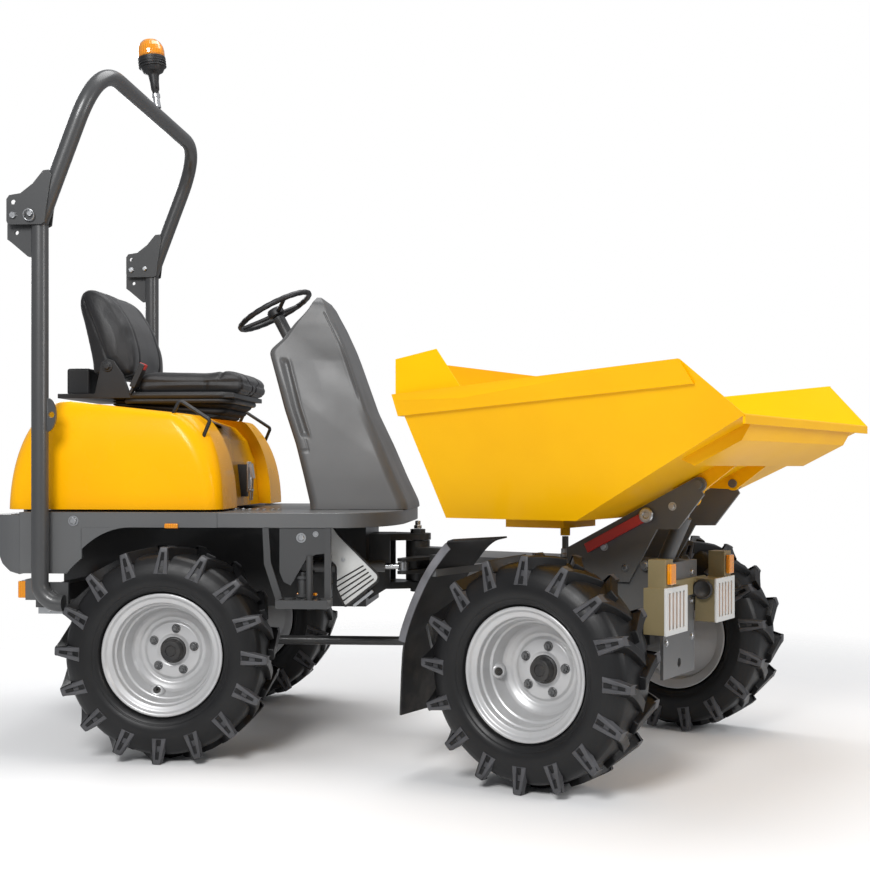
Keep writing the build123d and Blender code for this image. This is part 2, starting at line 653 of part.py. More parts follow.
with BuildPart() as seat_frame:
    with Locations(((-1385 - 685) / 2, 0, SEAT_PAN_Z + SEAT_PAN / 2)):
        Box(1385 - 685, 2 * (bracket_y + BRACKET_THICKNESS), SEAT_PAN)
    for side in (-1, 1):
        extrude(outline(side_view(side * (bracket_y + BRACKET_THICKNESS / 2) + BRACKET_THICKNESS / 2),
                        [(-1240, SEAT_PAN_Z + 5), (-1092, SEAT_PAN_Z + 5), (-1125, 1400), (-1160, 1450),
                         (-1188, 1460), (-1212, 1445), (-1220, 1400)]),
                amount=BRACKET_THICKNESS)
        with Locations(Location((-1185, side * (bracket_y + BRACKET_THICKNESS + 4), 1428), (90, 0, 0))):
            Cylinder(14, 8)
keep(seat_frame, "seat_frame")

with BuildPart() as seat_cushion:
    with Locations(((CUSHION_FRONT_X + CUSHION_REAR_X) / 2, 0,
                    (SEAT_PAN_Z + SEAT_PAN + SEAT_GAP + CUSHION_TOP_Z) / 2)):
        Box(CUSHION_FRONT_X - CUSHION_REAR_X, 2 * SEAT_HALF_WIDTH,
            CUSHION_TOP_Z - SEAT_PAN_Z - SEAT_PAN - SEAT_GAP)
    fillet(seat_cushion.edges().filter_by(Axis.Z), 40)
    fillet(seat_cushion.faces().sort_by(Axis.Z)[-1].edges(), 26)
keep(seat_cushion, "seat_cushion")

with BuildPart() as seat_back:
    extrude(outline(side_view(SEAT_HALF_WIDTH),
                    [(-1262, 1390), (-1262, 1440), (-1318, 1690), (-1300, 1735), (-1262, 1742),
                     (-1225, 1690), (-1135, 1522), (-1096, 1420), (-1096, 1390)]),
            amount=2 * SEAT_HALF_WIDTH)
keep(seat_back, "seat_back")

with BuildPart() as document_box:
    with Locations((-1338, 0, SEAT_PAN_Z + SEAT_PAN + 53)):
        Box(94, 280, 106)
keep(document_box, "document_box")

with BuildPart() as hood_handles:
    for side in (-1, 1):
        with BuildLine() as handle_path:
            FilletPolyline((-866, side * HANDLE_Y, 1190), (-822, side * HANDLE_Y, 1284),
                           (-708, side * HANDLE_Y, 1210), (-742, side * HANDLE_Y, 1130), radius=12)
        with BuildSketch(Plane(origin=handle_path.wire() @ 0, z_dir=handle_path.wire() % 0)):
            Circle(7)
        sweep(path=handle_path.wire())
    # latch in the hollow
    with Locations((-710, 0, 985)):
        Box(40, 34, 130)
    add(hood_outside, mode=Mode.SUBTRACT)
keep(hood_handles, "hood_handles")

# ---------------------------------------------------------------- console and steering wheel
# sections of the cowl: height, rear x, front x, half width, corner radius
CONSOLE_SECTIONS = (
    (DECK_TOP_Z, -360, -45, 255, 140),
    (1180, -472, -100, 228, 100),
    (1480, -562, -250, 190, 80),
    (1712, -560, -366, 130, 55),
)
CONSOLE_KNEE = (-548, 1512)         # x, z where the cowl's sloping top starts
CONSOLE_SLOPE = 50                  # degrees
tilt = radians(WHEEL_TILT)
wheel_axis = (-sin(tilt), 0, cos(tilt))
wheel_plane = Plane(origin=(WHEEL_X, 0, WHEEL_Z), x_dir=(0, 1, 0), z_dir=wheel_axis)

with BuildPart() as console:
    for height, rear_x, front_x, half_width, corner in CONSOLE_SECTIONS:
        with BuildSketch(Plane.XY.offset(height)):
            with Locations(((rear_x + front_x) / 2, 0)):
                RectangleRounded(front_x - rear_x, 2 * half_width, corner)
    loft()
    knee_slope = radians(CONSOLE_SLOPE)
    split(bisect_by=Plane(origin=(CONSOLE_KNEE[0], 0, CONSOLE_KNEE[1]),
                          z_dir=(-sin(knee_slope), 0, cos(knee_slope))), keep=Keep.BOTTOM)
    with BuildSketch(wheel_plane.offset(-COLUMN_DROP)):
        Circle(COLUMN_RADIUS + PIN_CLEARANCE)
    extrude(amount=-COLUMN_LENGTH, mode=Mode.SUBTRACT)
keep(console, "console")

with BuildPart() as steering_column:
    with BuildSketch(wheel_plane.offset(-COLUMN_DROP)):
        Circle(COLUMN_RADIUS)
    extrude(amount=-COLUMN_LENGTH)
    with BuildSketch(wheel_plane.offset(-COLUMN_DROP)):
        Circle(WHEEL_SHAFT_RADIUS)
    extrude(amount=COLUMN_DROP)
keep(steering_column, "steering_column")

with BuildPart() as steering_wheel:
    with BuildSketch(Plane.XZ):
        with Locations((WHEEL_RIM_RADIUS, 0)):
            Circle(WHEEL_TUBE_RADIUS)
    revolve(axis=Axis.Z)
    with Locations((0, 0, 18 - COLUMN_DROP + 2)):
        Cylinder(WHEEL_HUB_RADIUS, 36)
    with PolarLocations(0, 3, start_angle=90):
        with Locations((WHEEL_RIM_RADIUS / 2 + 10, 0, -2)):
            Box(WHEEL_RIM_RADIUS - 20, 28, 9)
    with Locations((0, 0, 1 - COLUMN_DROP / 2)):
        Cylinder(WHEEL_SHAFT_RADIUS + PIN_CLEARANCE, COLUMN_DROP, mode=Mode.SUBTRACT)
steering_wheel.part = steering_wheel.part.moved(wheel_plane.location)
keep(steering_wheel, "steering_wheel")

# ---------------------------------------------------------------- front chassis, drawn straight ahead
lug_angle = radians(TIP_CYL_LUG_ANGLE)
tip_lug = (TIP_X + TIP_CYL_LUG_REACH * cos(lug_angle), TIP_Z + TIP_CYL_LUG_REACH * sin(lug_angle))
arm_slope = (SKIP_LIP_Z - SKIP_LOW_Z) / (SKIP_LIP_X - SKIP_FLOOR_X)

with BuildPart() as front_chassis:
    # channel, open below
    with Locations(((FRONT_REAR_X + FRONT_FRONT_X) / 2, 0, (FRONT_LOW_Z + FRONT_TOP_Z) / 2)):
        Box(FRONT_FRONT_X - FRONT_REAR_X, 2 * FRONT_HALF_WIDTH, FRONT_TOP_Z - FRONT_LOW_Z)
        with Locations((0, 0, -6)):
            Box(FRONT_FRONT_X - FRONT_REAR_X - 24, 2 * FRONT_HALF_WIDTH - 24,
                FRONT_TOP_Z - FRONT_LOW_Z - 12, mode=Mode.SUBTRACT)
    # window in the top for the tip cylinder, and the member that its base is pinned to
    with Locations((1042, 0, FRONT_TOP_Z)):
        Box(112, 84, 40, mode=Mode.SUBTRACT)
    with Locations((TIP_CYL_BASE[0], 0, FRONT_LOW_Z + 6)):
        Box(70, 2 * FRONT_HALF_WIDTH - 12, 12)
    for side in (-1, 1):
        with BuildSketch(side_view(side * clevis_offset + CLEVIS_PLATE / 2)):
            with Locations(TIP_CYL_BASE):
                Circle(22)
            with BuildLine():
                Polyline((TIP_CYL_BASE[0] - 32, FRONT_LOW_Z + 6), (TIP_CYL_BASE[0] - 22, TIP_CYL_BASE[1]),
                         (TIP_CYL_BASE[0] + 22, TIP_CYL_BASE[1]), (TIP_CYL_BASE[0] + 32, FRONT_LOW_Z + 6),
                         close=True)
            make_face()
        extrude(amount=CLEVIS_PLATE)
    with Locations(Location((TIP_CYL_BASE[0], 0, TIP_CYL_BASE[1]), (90, 0, 0))):
        Cylinder(EYE_PIN_RADIUS, 2 * clevis_offset + CLEVIS_PLATE + 12)
    # front plate that hangs down to the tow hole
    with Locations((FRONT_FRONT_X - 6, 0, (TOW_PLATE_LOW_Z + FRONT_TOP_Z) / 2)):
        Box(12, 280, FRONT_TOP_Z - TOW_PLATE_LOW_Z)
        with Locations(Location((0, 0, TOW_HOLE_Z - (TOW_PLATE_LOW_Z + FRONT_TOP_Z) / 2), (0, 90, 0))):
            Cylinder(TOW_HOLE_RADIUS, 20, mode=Mode.SUBTRACT)
    # neck and knuckle
    with Locations(((FRONT_REAR_X + 6) / 2, 0, (NECK_LOW_Z + NECK_TOP_Z) / 2)):
        Box(FRONT_REAR_X + 6, 2 * NECK_HALF_WIDTH, NECK_TOP_Z - NECK_LOW_Z)
    with Locations((0, 0, (boss_low_z + boss_top_z) / 2)):
        Cylinder(EAR_RADIUS - 4, boss_top_z - boss_low_z)
        Cylinder(PIVOT_PIN_RADIUS + PIN_CLEARANCE, boss_top_z - boss_low_z, mode=Mode.SUBTRACT)
    # steering arm
    for offset_z in (-clevis_offset, clevis_offset):
        with BuildSketch(Plane.XY.offset(STEER_CYL_Z + offset_z - CLEVIS_PLATE / 2)):
            with Locations(STEER_CYL_LUG):
                Circle(22)
            with BuildLine():
                Polyline((32, -NECK_HALF_WIDTH + 10), (STEER_CYL_LUG[0] - 22, STEER_CYL_LUG[1]),
                         (STEER_CYL_LUG[0] + 22, STEER_CYL_LUG[1]), (120, -NECK_HALF_WIDTH + 10), close=True)
            make_face()
        extrude(amount=CLEVIS_PLATE)
    # mudguard bars
    for side in (-1, 1):
        with Locations((531, side * (FRONT_HALF_WIDTH - 6 + 270), 688)):
            Box(24, 540, 24)
    # rest under the skip
    with Locations((660, 0, FRONT_TOP_Z + 38)):
        Cylinder(12, 80)
keep(front_chassis, "front_chassis", turned=True)

with BuildPart() as tipping_frame:
    for side in (-1, 1):
        with BuildSketch(side_view(side * ARM_Y + ARM_THICKNESS / 2)):
            with BuildLine():
                Polyline((758, ARM_FOOT_Z), (758, 752), (1240, 752 + 482 * arm_slope), (1271, 945),
                         (1179, 828), (1103, 826), (998, ARM_FOOT_Z), close=True)
            make_face()
            with Locations((TIP_X, TIP_Z)):
                Circle(TIP_BOSS_RADIUS)
        extrude(amount=ARM_THICKNESS)
        with Locations(Location((TIP_X, side * (ARM_Y - 8), TIP_Z), (90, 0, 0))):
            Cylinder(TIP_PIN_RADIUS, 44)
keep(tipping_frame, "tipping_frame", turned=True)

mudguard_radius = 451
mudguard_outer_y = 705
mudguard_width = 245

with BuildPart() as front_mudguards:
    for side in (-1, 1):
        low_y = side * (mudguard_outer_y - mudguard_width / 2) - mudguard_width / 2
        with BuildSketch(side_view(low_y + mudguard_width)):
            with Locations((FRONT_AXLE_X, AXLE_Z)):
                Circle(mudguard_radius + SHEET)
                Circle(mudguard_radius, mode=Mode.SUBTRACT)
            with BuildLine():
                Polyline((FRONT_AXLE_X, AXLE_Z), *[(FRONT_AXLE_X + 800 * cos(radians(a)),
                                                    AXLE_Z + 800 * sin(radians(a))) for a in (98, 135, 172)],
                         close=True)
            make_face(mode=Mode.INTERSECT)
        extrude(amount=mudguard_width)
        flap_x = FRONT_AXLE_X - mudguard_radius
        extrude(outline(side_view(low_y + mudguard_width),
                        [(flap_x - 2, 452), (flap_x + 6, 452), (flap_x - 14, 202), (flap_x - 20, 202)]),
                amount=mudguard_width)
        with Locations((531, side * (FRONT_HALF_WIDTH - 6 + 270), 688)):
            Box(24.6, 542, 24.6, mode=Mode.SUBTRACT)
keep(front_mudguards, "front_mudguards", turned=True)

signal_z = LAMP_LOW_Z + LAMP_HEIGHT + SIGNAL_HEIGHT / 2 - 4

with BuildPart() as lamp_boxes:
    with Locations((FRONT_FRONT_X + 5, 0, 612)):
        Box(10, 2 * LAMP_Y, 60)
    for side in (-1, 1):
        with Locations(((FRONT_FRONT_X + 5 + LAMP_FRONT_X) / 2, side * LAMP_Y, LAMP_LOW_Z + LAMP_HEIGHT / 2)):
            Box(LAMP_FRONT_X - FRONT_FRONT_X - 5, LAMP_WIDTH - 4, LAMP_HEIGHT - 4)
        with Locations((LAMP_FRONT_X - 33, side * (LAMP_Y + 45), signal_z)):
            Box(62, SIGNAL_WIDTH, SIGNAL_HEIGHT)
keep(lamp_boxes, "lamp_boxes", turned=True)

with BuildPart() as lamp_grilles:
    for side in (-1, 1):
        with BuildSketch(Plane.YZ.offset(LAMP_FRONT_X)):
            with Locations((side * LAMP_Y, LAMP_LOW_Z + LAMP_HEIGHT / 2)):
                Rectangle(LAMP_WIDTH, LAMP_HEIGHT)
                with GridLocations(30, 0, 5, 1):
                    Rectangle(15, LAMP_HEIGHT - 36, mode=Mode.SUBTRACT)
        extrude(amount=8)
keep(lamp_grilles, "lamp_grilles", turned=True)

with BuildPart() as indicators:
    for side in (-1, 1):
        with Locations((LAMP_FRONT_X + 2, side * (LAMP_Y + 45), signal_z)):
            Box(8, SIGNAL_WIDTH - 20, SIGNAL_HEIGHT - 30)
keep(indicators, "indicators", turned=True)

with BuildPart() as safety_prop:
    extrude(outline(side_view(-ARM_Y - ARM_THICKNESS / 2),
                    [(832, 768), (846, 738), (1078, 859), (1064, 889)]),
            amount=14)
keep(safety_prop, "safety_prop", turned=True)

# ---------------------------------------------------------------- skip
def skip_section(inset, outset, top_rise):
    """Across the skip: a trough whose sides lean out, from inset above the floor."""
    half = SKIP_LOW_HALF_WIDTH - inset / cos(atan2(SKIP_FLARE, 1)) + outset
    return [(-half, SKIP_LOW_Z), (half, SKIP_LOW_Z),
            (half + top_rise * SKIP_FLARE, SKIP_LOW_Z + top_rise),
            (-half - top_rise * SKIP_FLARE, SKIP_LOW_Z + top_rise)]


floor_angle = atan2(SKIP_LIP_Z - SKIP_LOW_Z, SKIP_LIP_X - SKIP_FLOOR_X)
rim_slope = (SKIP_FRONT_TOP_Z - SKIP_REAR_TOP_Z) / (SKIP_FRONT_TOP_X - SKIP_REAR_TOP_X)
skip_span = 1000

with BuildPart() as skip_cavity:
    wall_x = SKIP_WALL * 1.02
    rise = SKIP_WALL / cos(floor_angle)
    extrude(outline(side_view(skip_span),
                    [(SKIP_REAR_LOW_X + wall_x, SKIP_LOW_Z + SKIP_WALL),
                     (SKIP_FLOOR_X, SKIP_LOW_Z + SKIP_WALL),
                     (SKIP_LIP_X + 60, SKIP_LIP_Z + rise + 60 * arm_slope), (SKIP_LIP_X + 60, 1700),
                     (SKIP_REAR_TOP_X + wall_x, 1700), (SKIP_REAR_TOP_X + wall_x, SKIP_REAR_TOP_Z)]),
            amount=2 * skip_span)
    extrude(outline(end_view(0), skip_section(SKIP_WALL, 0, 800)), amount=2000, mode=Mode.INTERSECT)

with BuildPart() as skip_band:
    extrude(outline(side_view(skip_span),
                    [(SKIP_REAR_TOP_X - SKIP_BAND, SKIP_REAR_TOP_Z),
                     (SKIP_REAR_TOP_X - SKIP_BAND, SKIP_REAR_TOP_Z - SKIP_BAND_HEIGHT),
                     (SKIP_FRONT_TOP_X + 34, SKIP_FRONT_TOP_Z - SKIP_BAND_HEIGHT),
                     (SKIP_FRONT_TOP_X, SKIP_FRONT_TOP_Z)]),
            amount=2 * skip_span)
    extrude(outline(end_view(0), skip_section(0, SKIP_BAND, 800)), amount=2000, mode=Mode.INTERSECT)

with BuildPart() as skip_headboard:
    extrude(outline(side_view(skip_span),
                    [(SKIP_REAR_TOP_X, SKIP_REAR_TOP_Z - 20), (SKIP_REAR_TOP_X, HEADBOARD_TOP_Z),
                     (556, HEADBOARD_TOP_Z + 27), (650, SKIP_REAR_TOP_Z + 250 * rim_slope),
                     (650, SKIP_REAR_TOP_Z - 20)]),
            amount=2 * skip_span)
    wing_half = SKIP_LOW_HALF_WIDTH + (SKIP_REAR_TOP_Z - SKIP_LOW_Z) * SKIP_FLARE
    with Locations((500, 0, 1340)):
        Box(400, 2 * wing_half, 400, mode=Mode.INTERSECT)
    with Locations((500 + SKIP_REAR_TOP_X + SKIP_WALL, 0, 1340)):
        Box(1000, 2 * (wing_half - SKIP_WALL), 400, mode=Mode.SUBTRACT)

with BuildPart() as skip:
    extrude(outline(side_view(skip_span),
                    [(SKIP_REAR_TOP_X, SKIP_REAR_TOP_Z), (SKIP_REAR_LOW_X, SKIP_LOW_Z),
                     (SKIP_FLOOR_X, SKIP_LOW_Z), (SKIP_LIP_X, SKIP_LIP_Z),
                     (SKIP_FRONT_TOP_X, SKIP_FRONT_TOP_Z)]),
            amount=2 * skip_span)
    extrude(outline(end_view(0), skip_section(0, 0, 800)), amount=2000, mode=Mode.INTERSECT)
    add(skip_band.part)
    # lip turned down at the front
    lip_half = SKIP_LOW_HALF_WIDTH + (SKIP_LIP_Z - SKIP_LOW_Z) * SKIP_FLARE
    with Locations((SKIP_LIP_X - 4, 0, SKIP_LIP_Z - 13)):
        Box(8, 2 * lip_half - 8, 26)
    add(skip_cavity.part, mode=Mode.SUBTRACT)
    add(skip_headboard.part)
    # stiffener under the mouth
    extrude(outline(side_view(540),
                    [(1340, SKIP_LOW_Z + 382 * arm_slope + 2), (1385, SKIP_LOW_Z + 382 * arm_slope - 18),
                     (1535, SKIP_LOW_Z + 577 * arm_slope - 42), (1570, SKIP_LOW_Z + 612 * arm_slope + 2)]),
            amount=1080)
    # ears on the pivot pins
    for side in (-1, 1):
        ear_y = side * (ARM_Y - ARM_THICKNESS / 2 - EAR_GAP - EAR_PLATE / 2)
        with BuildSketch(side_view(ear_y + EAR_PLATE / 2)):
            with BuildLine():
                Polyline((1150, SKIP_LOW_Z + 192 * arm_slope + 2), (TIP_X - 15, TIP_Z - 20),
                         (TIP_X + 20, TIP_Z - 15), (1400, SKIP_LOW_Z + 442 * arm_slope - 30),
                         (1420, SKIP_LOW_Z + 462 * arm_slope + 2), close=True)
            make_face()
            with Locations((TIP_X, TIP_Z)):
                Circle(TIP_BOSS_RADIUS)
                Circle(TIP_PIN_RADIUS + PIN_CLEARANCE, mode=Mode.SUBTRACT)
        extrude(amount=EAR_PLATE)
    # lug of the tip cylinder
    for side in (-1, 1):
        with BuildSketch(side_view(side * clevis_offset + CLEVIS_PLATE / 2)):
            with BuildLine():
                Polyline((tip_lug[0] - 60, SKIP_LOW_Z + (tip_lug[0] - 60 - SKIP_FLOOR_X) * arm_slope + 2),
                         (tip_lug[0] - 24, tip_lug[1]), (tip_lug[0] + 24, tip_lug[1]),
                         (tip_lug[0] + 60, SKIP_LOW_Z + (tip_lug[0] + 60 - SKIP_FLOOR_X) * arm_slope + 2),
                         close=True)
            make_face()
            with Locations(tip_lug):
                Circle(24)
        extrude(amount=CLEVIS_PLATE)
    # stiffener and rest tube under the floor
    with Locations((600, 0, SKIP_LOW_Z - 22)):
        Box(240, 260, 46)
    with Locations((660, 0, SKIP_LOW_Z - 38)):
        Cylinder(18, 78)
    with Locations((660, 0, SKIP_LOW_Z - 60)):
        Cylinder(12 + 2, 60, mode=Mode.SUBTRACT)
keep(skip, "skip", turned=True)

# ---------------------------------------------------------------- cylinders


def cylinder_pair(plane, length, barrel_radius, rod_radius, barrel_length):
    """Barrel and rod along the plane's x axis from its origin; both eyes lie across its z axis."""
    body_start = EYE_RADIUS + 14
    bore_start = body_start + 8
    rod_start = bore_start + ROD_RETRACT
    with BuildPart() as barrel:
        with BuildSketch(Plane.YZ.offset(body_start)):
            Circle(barrel_radius)
        extrude(amount=barrel_length - body_start)
        with BuildSketch(Plane.YZ):
            Circle(EYE_WIDTH / 2 - 1)
        extrude(amount=body_start)
        Cylinder(EYE_RADIUS, EYE_WIDTH)
        Cylinder(EYE_PIN_RADIUS + PIN_CLEARANCE, EYE_WIDTH, mode=Mode.SUBTRACT)
        with BuildSketch(Plane.YZ.offset(bore_start)):
            Circle(rod_radius + PIN_CLEARANCE)
        extrude(amount=barrel_length, mode=Mode.SUBTRACT)
    with BuildPart() as rod:
        with BuildSketch(Plane.YZ.offset(rod_start)):
            Circle(rod_radius)
        extrude(amount=length - rod_start)
        with Locations((length, 0, 0)):
            Cylinder(EYE_RADIUS, EYE_WIDTH)
    barrel.part = barrel.part.moved(plane.location)
    rod.part = rod.part.moved(plane.location)
    return barrel, rod


steer_rest = radians(STEER_PARKED)
steer_lug_x = STEER_CYL_LUG[0] * cos(steer_rest) - STEER_CYL_LUG[1] * sin(steer_rest)
steer_lug_y = STEER_CYL_LUG[0] * sin(steer_rest) + STEER_CYL_LUG[1] * cos(steer_rest)
steer_dx = steer_lug_x - STEER_CYL_BASE[0]
steer_dy = steer_lug_y - STEER_CYL_BASE[1]
steer_barrel, steer_rod = cylinder_pair(
    Plane(origin=(*STEER_CYL_BASE, STEER_CYL_Z), x_dir=(steer_dx, steer_dy, 0), z_dir=(0, 0, 1)),
    hypot(steer_dx, steer_dy), STEER_CYL_BARREL_RADIUS, STEER_CYL_ROD_RADIUS, STEER_CYL_BARREL_LENGTH)
keep(steer_barrel, "steer_barrel")
keep(steer_rod, "steer_rod")

tip_dx = tip_lug[0] - TIP_CYL_BASE[0]
tip_dz = tip_lug[1] - TIP_CYL_BASE[1]
tip_barrel, tip_rod = cylinder_pair(
    Plane(origin=(TIP_CYL_BASE[0], 0, TIP_CYL_BASE[1]), x_dir=(tip_dx, 0, tip_dz), z_dir=(0, -1, 0)),
    hypot(tip_dx, tip_dz), TIP_CYL_BARREL_RADIUS, TIP_CYL_ROD_RADIUS, TIP_CYL_BARREL_LENGTH)
keep(tip_barrel, "tip_barrel", turned=True)
keep(tip_rod, "tip_rod", turned=True)

# ---------------------------------------------------------------- wheels, drawn on the left of an axle
half_width = TYRE_WIDTH / 2
# half sections of the carcass from the side to the tread, and of its seat on the rim: y, radius
CARCASS_SECTION = ((half_width - 5, 300), (half_width - 25, TREAD_RADIUS))
BEAD_SECTION = (
    (half_width - 3, 255), (RIM_WIDTH / 2 - 8, RIM_FLANGE_RADIUS + 8),
    (RIM_WIDTH / 2 - 20, RIM_BARREL_RADIUS + 0.3),
)
# half section of the rim's face side, from the flange inwards: y, radius
RIM_SECTION = (
    (RIM_OUTER_Y, RIM_FLANGE_RADIUS), (RIM_OUTER_Y - 10, RIM_FLANGE_RADIUS - 4),
    (RIM_OUTER_Y - 16, RIM_BARREL_RADIUS), (RIM_OUTER_Y - RIM_WIDTH + 16, RIM_BARREL_RADIUS),
    (RIM_OUTER_Y - RIM_WIDTH + 10, RIM_FLANGE_RADIUS - 4), (RIM_OUTER_Y - RIM_WIDTH, RIM_FLANGE_RADIUS),
    (RIM_OUTER_Y - RIM_WIDTH, RIM_FLANGE_RADIUS - 10),
    (RIM_OUTER_Y - RIM_WIDTH + 20, RIM_BARREL_RADIUS - RIM_WALL),
    (HUB_FACE_Y - 20, RIM_BARREL_RADIUS - RIM_WALL),
    (HUB_FACE_Y - RIM_WALL, RIM_BARREL_RADIUS - 66), (HUB_FACE_Y - RIM_WALL, 0),
    (HUB_FACE_Y + 44, 0), (HUB_FACE_Y + 44, HUB_CAP_RADIUS + 6), (HUB_FACE_Y, HUB_CAP_RADIUS + 8),
    (HUB_FACE_Y, RIM_BARREL_RADIUS - 68), (HUB_FACE_Y + 22, RIM_BARREL_RADIUS - 38),
    (RIM_OUTER_Y - 46, RIM_BARREL_RADIUS - 24),
    (RIM_OUTER_Y - 38, RIM_BARREL_RADIUS - RIM_WALL), (RIM_OUTER_Y - 16, RIM_BARREL_RADIUS - RIM_WALL),
    (RIM_OUTER_Y - 4, RIM_FLANGE_RADIUS - 12),
)



def faceted(half_section):
    """Solid of flat strips through a half section and its mirror image, about the y axis."""
    with BuildPart() as made:
        for y, radius in [(-y, radius) for y, radius in half_section] + list(reversed(half_section)):
            with BuildSketch(side_view(TYRE_CENTRE_Y + y)):
                RegularPolygon(radius / cos(pi / TYRE_FACETS), TYRE_FACETS)
        loft(ruled=True)
    return made.part


lug_top = sqrt(TYRE_RADIUS ** 2 - LUG_HALF_SPAN ** 2)


def lug(side, turn):
    """One chevron lug: a bar slanting from the shoulder to the tread's middle, on the tyre's top."""
    with BuildPart() as made:
        extrude(outline(Plane.XY.offset(LUG_FOOT_RADIUS),
                        [(-LUG_HALF_SPAN, TYRE_CENTRE_Y + side * half_width),
                         (4, TYRE_CENTRE_Y + side * half_width),
                         (LUG_HALF_SPAN, TYRE_CENTRE_Y + side * 4),
                         (LUG_HALF_SPAN - 28, TYRE_CENTRE_Y - side * 10)]),
                amount=lug_top - LUG_FOOT_RADIUS)
    return made.part.rotate(Axis.Y, turn)


with BuildPart() as tyre_form:
    add(faceted(CARCASS_SECTION))
    add(faceted(BEAD_SECTION), mode=Mode.SUBTRACT)
    lug_pitch = 360 / LUG_COUNT
    for side in (-1, 1):
        add([lug(side, (place + side / 4) * lug_pitch) for place in range(LUG_COUNT)])

with BuildPart() as rim_form:
    with BuildSketch(Plane.XY):
        with BuildLine():
            Polyline(*[(radius, y) for y, radius in RIM_SECTION], close=True)
        make_face()
    revolve(axis=Axis.Y)
    # blind bore for the axle's stub
    with BuildSketch(side_view(HUB_FACE_Y + 31)):
        Circle(AXLE_STUB_RADIUS + PIN_CLEARANCE)
    extrude(amount=60, mode=Mode.SUBTRACT)

for corner, axle_x, side, turned in (
        ("rear_right", REAR_AXLE_X, -1, False), ("rear_left", REAR_AXLE_X, 1, False),
        ("front_right", FRONT_AXLE_X, -1, True), ("front_left", FRONT_AXLE_X, 1, True)):
    for form, kind in ((tyre_form, "tyre"), (rim_form, "rim")):
        with BuildPart() as wheel_piece:
            add(form.part if side > 0 else form.part.mirror(Plane.XZ))
        wheel_piece.part = wheel_piece.part.moved(Location((axle_x, 0, AXLE_Z)))
        keep(wheel_piece, kind + "_" + corner, turned)

# ---------------------------------------------------------------- origin at the middle of the footprint
boxes = [solid.bounding_box() for solid in finished]
low = [min(getattr(box.min, axis) for box in boxes) for axis in "XYZ"]
high = [max(getattr(box.max, axis) for box in boxes) for axis in "XYZ"]
shift = Location((-(low[0] + high[0]) / 2, -(low[1] + high[1]) / 2, -low[2]))
print("origin moved by", shift.position)
for solid in finished:
    placed = solid.moved(shift)
    placed.label = solid.label
    export_step(placed, "parts/" + solid.label + ".step")
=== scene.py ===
"""Looks of a small articulated site dumper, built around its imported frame.

Laid out as an add-on: property groups hold the sizes and colours, one operator makes each group of
pieces and one the stage, and main() calls them in order.  Metres, +Z up.  Places are given from the
articulation's axis at the ground: rear(x, y, z) in the rear half's own axes and front(x, y, z) in the
front half's, which is steered.
"""

import json
from math import cos, pi, radians, sin

import bmesh
import bpy
import numpy as np
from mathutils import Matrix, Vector


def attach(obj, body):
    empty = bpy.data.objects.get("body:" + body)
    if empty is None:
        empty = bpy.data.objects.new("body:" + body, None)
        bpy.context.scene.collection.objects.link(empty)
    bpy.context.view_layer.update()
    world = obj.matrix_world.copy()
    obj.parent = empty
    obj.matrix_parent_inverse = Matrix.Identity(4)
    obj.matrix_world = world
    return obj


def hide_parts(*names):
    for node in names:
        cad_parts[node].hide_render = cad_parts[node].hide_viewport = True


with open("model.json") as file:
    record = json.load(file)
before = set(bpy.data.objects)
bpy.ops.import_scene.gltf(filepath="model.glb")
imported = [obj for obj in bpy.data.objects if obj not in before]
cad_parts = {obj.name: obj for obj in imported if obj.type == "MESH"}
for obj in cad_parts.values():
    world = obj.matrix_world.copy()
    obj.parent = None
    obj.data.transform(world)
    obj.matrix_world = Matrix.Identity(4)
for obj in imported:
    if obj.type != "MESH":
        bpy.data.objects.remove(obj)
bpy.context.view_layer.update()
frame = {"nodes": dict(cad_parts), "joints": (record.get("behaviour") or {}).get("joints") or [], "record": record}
JOINTS = {joint["name"]: joint for joint in frame["joints"]}
PIVOT = np.array(JOINTS["articulation"]["pos_m"]) * (1, 1, 0)
SIDEWAYS = np.array(JOINTS["skip_tip"]["axis"])         # the front half's own +Y
FORWARD = np.array((SIDEWAYS[1], -SIDEWAYS[0], 0))      # the front half's own +X

bl_info = {
    "name": "Site dumper looks",
    "version": (1, 0, 0),
    "blender": (4, 5, 0),
    "location": "3D View > Sidebar > Dumper",
    "description": "Finishes and detail of a small articulated site dumper",
    "category": "Object",
}


def rear(points):
    """Points of the rear half, given from the articulation's axis, in the shared frame."""
    return np.asarray(points, float) + PIVOT


def front(points):
    """Points of the front half in its own straight axes: x along FORWARD, y along SIDEWAYS, then moved."""
    points = np.asarray(points, float)
    turned = points[..., 0:1] * FORWARD + points[..., 1:2] * SIDEWAYS
    return turned + points[..., 2:3] * (0, 0, 1) + PIVOT


# ---------------------------------------------------------------- shader helpers
class Value:
    """A shader socket that takes part in Python arithmetic: each operator adds one Math node."""

    def __init__(self, tree, socket):
        self.tree = tree
        self.socket = socket

    def math(self, operation, *inputs):
        """Math node on this value and the others."""
        made = self.tree.nodes.new("ShaderNodeMath")
        made.operation = operation
        for place, entry in enumerate((self, *inputs)):
            if isinstance(entry, Value):
                self.tree.links.new(entry.socket, made.inputs[place])
            else:
                made.inputs[place].default_value = entry
        return Value(self.tree, made.outputs[0])

    def __add__(self, other):
        return self.math("ADD", other)

    def __mul__(self, other):
        return self.math("MULTIPLY", other)

    def __sub__(self, other):
        return self.math("SUBTRACT", other)

    def __rsub__(self, other):
        return self.math("MULTIPLY", -1).math("ADD", other)

    __radd__ = __add__
    __rmul__ = __mul__


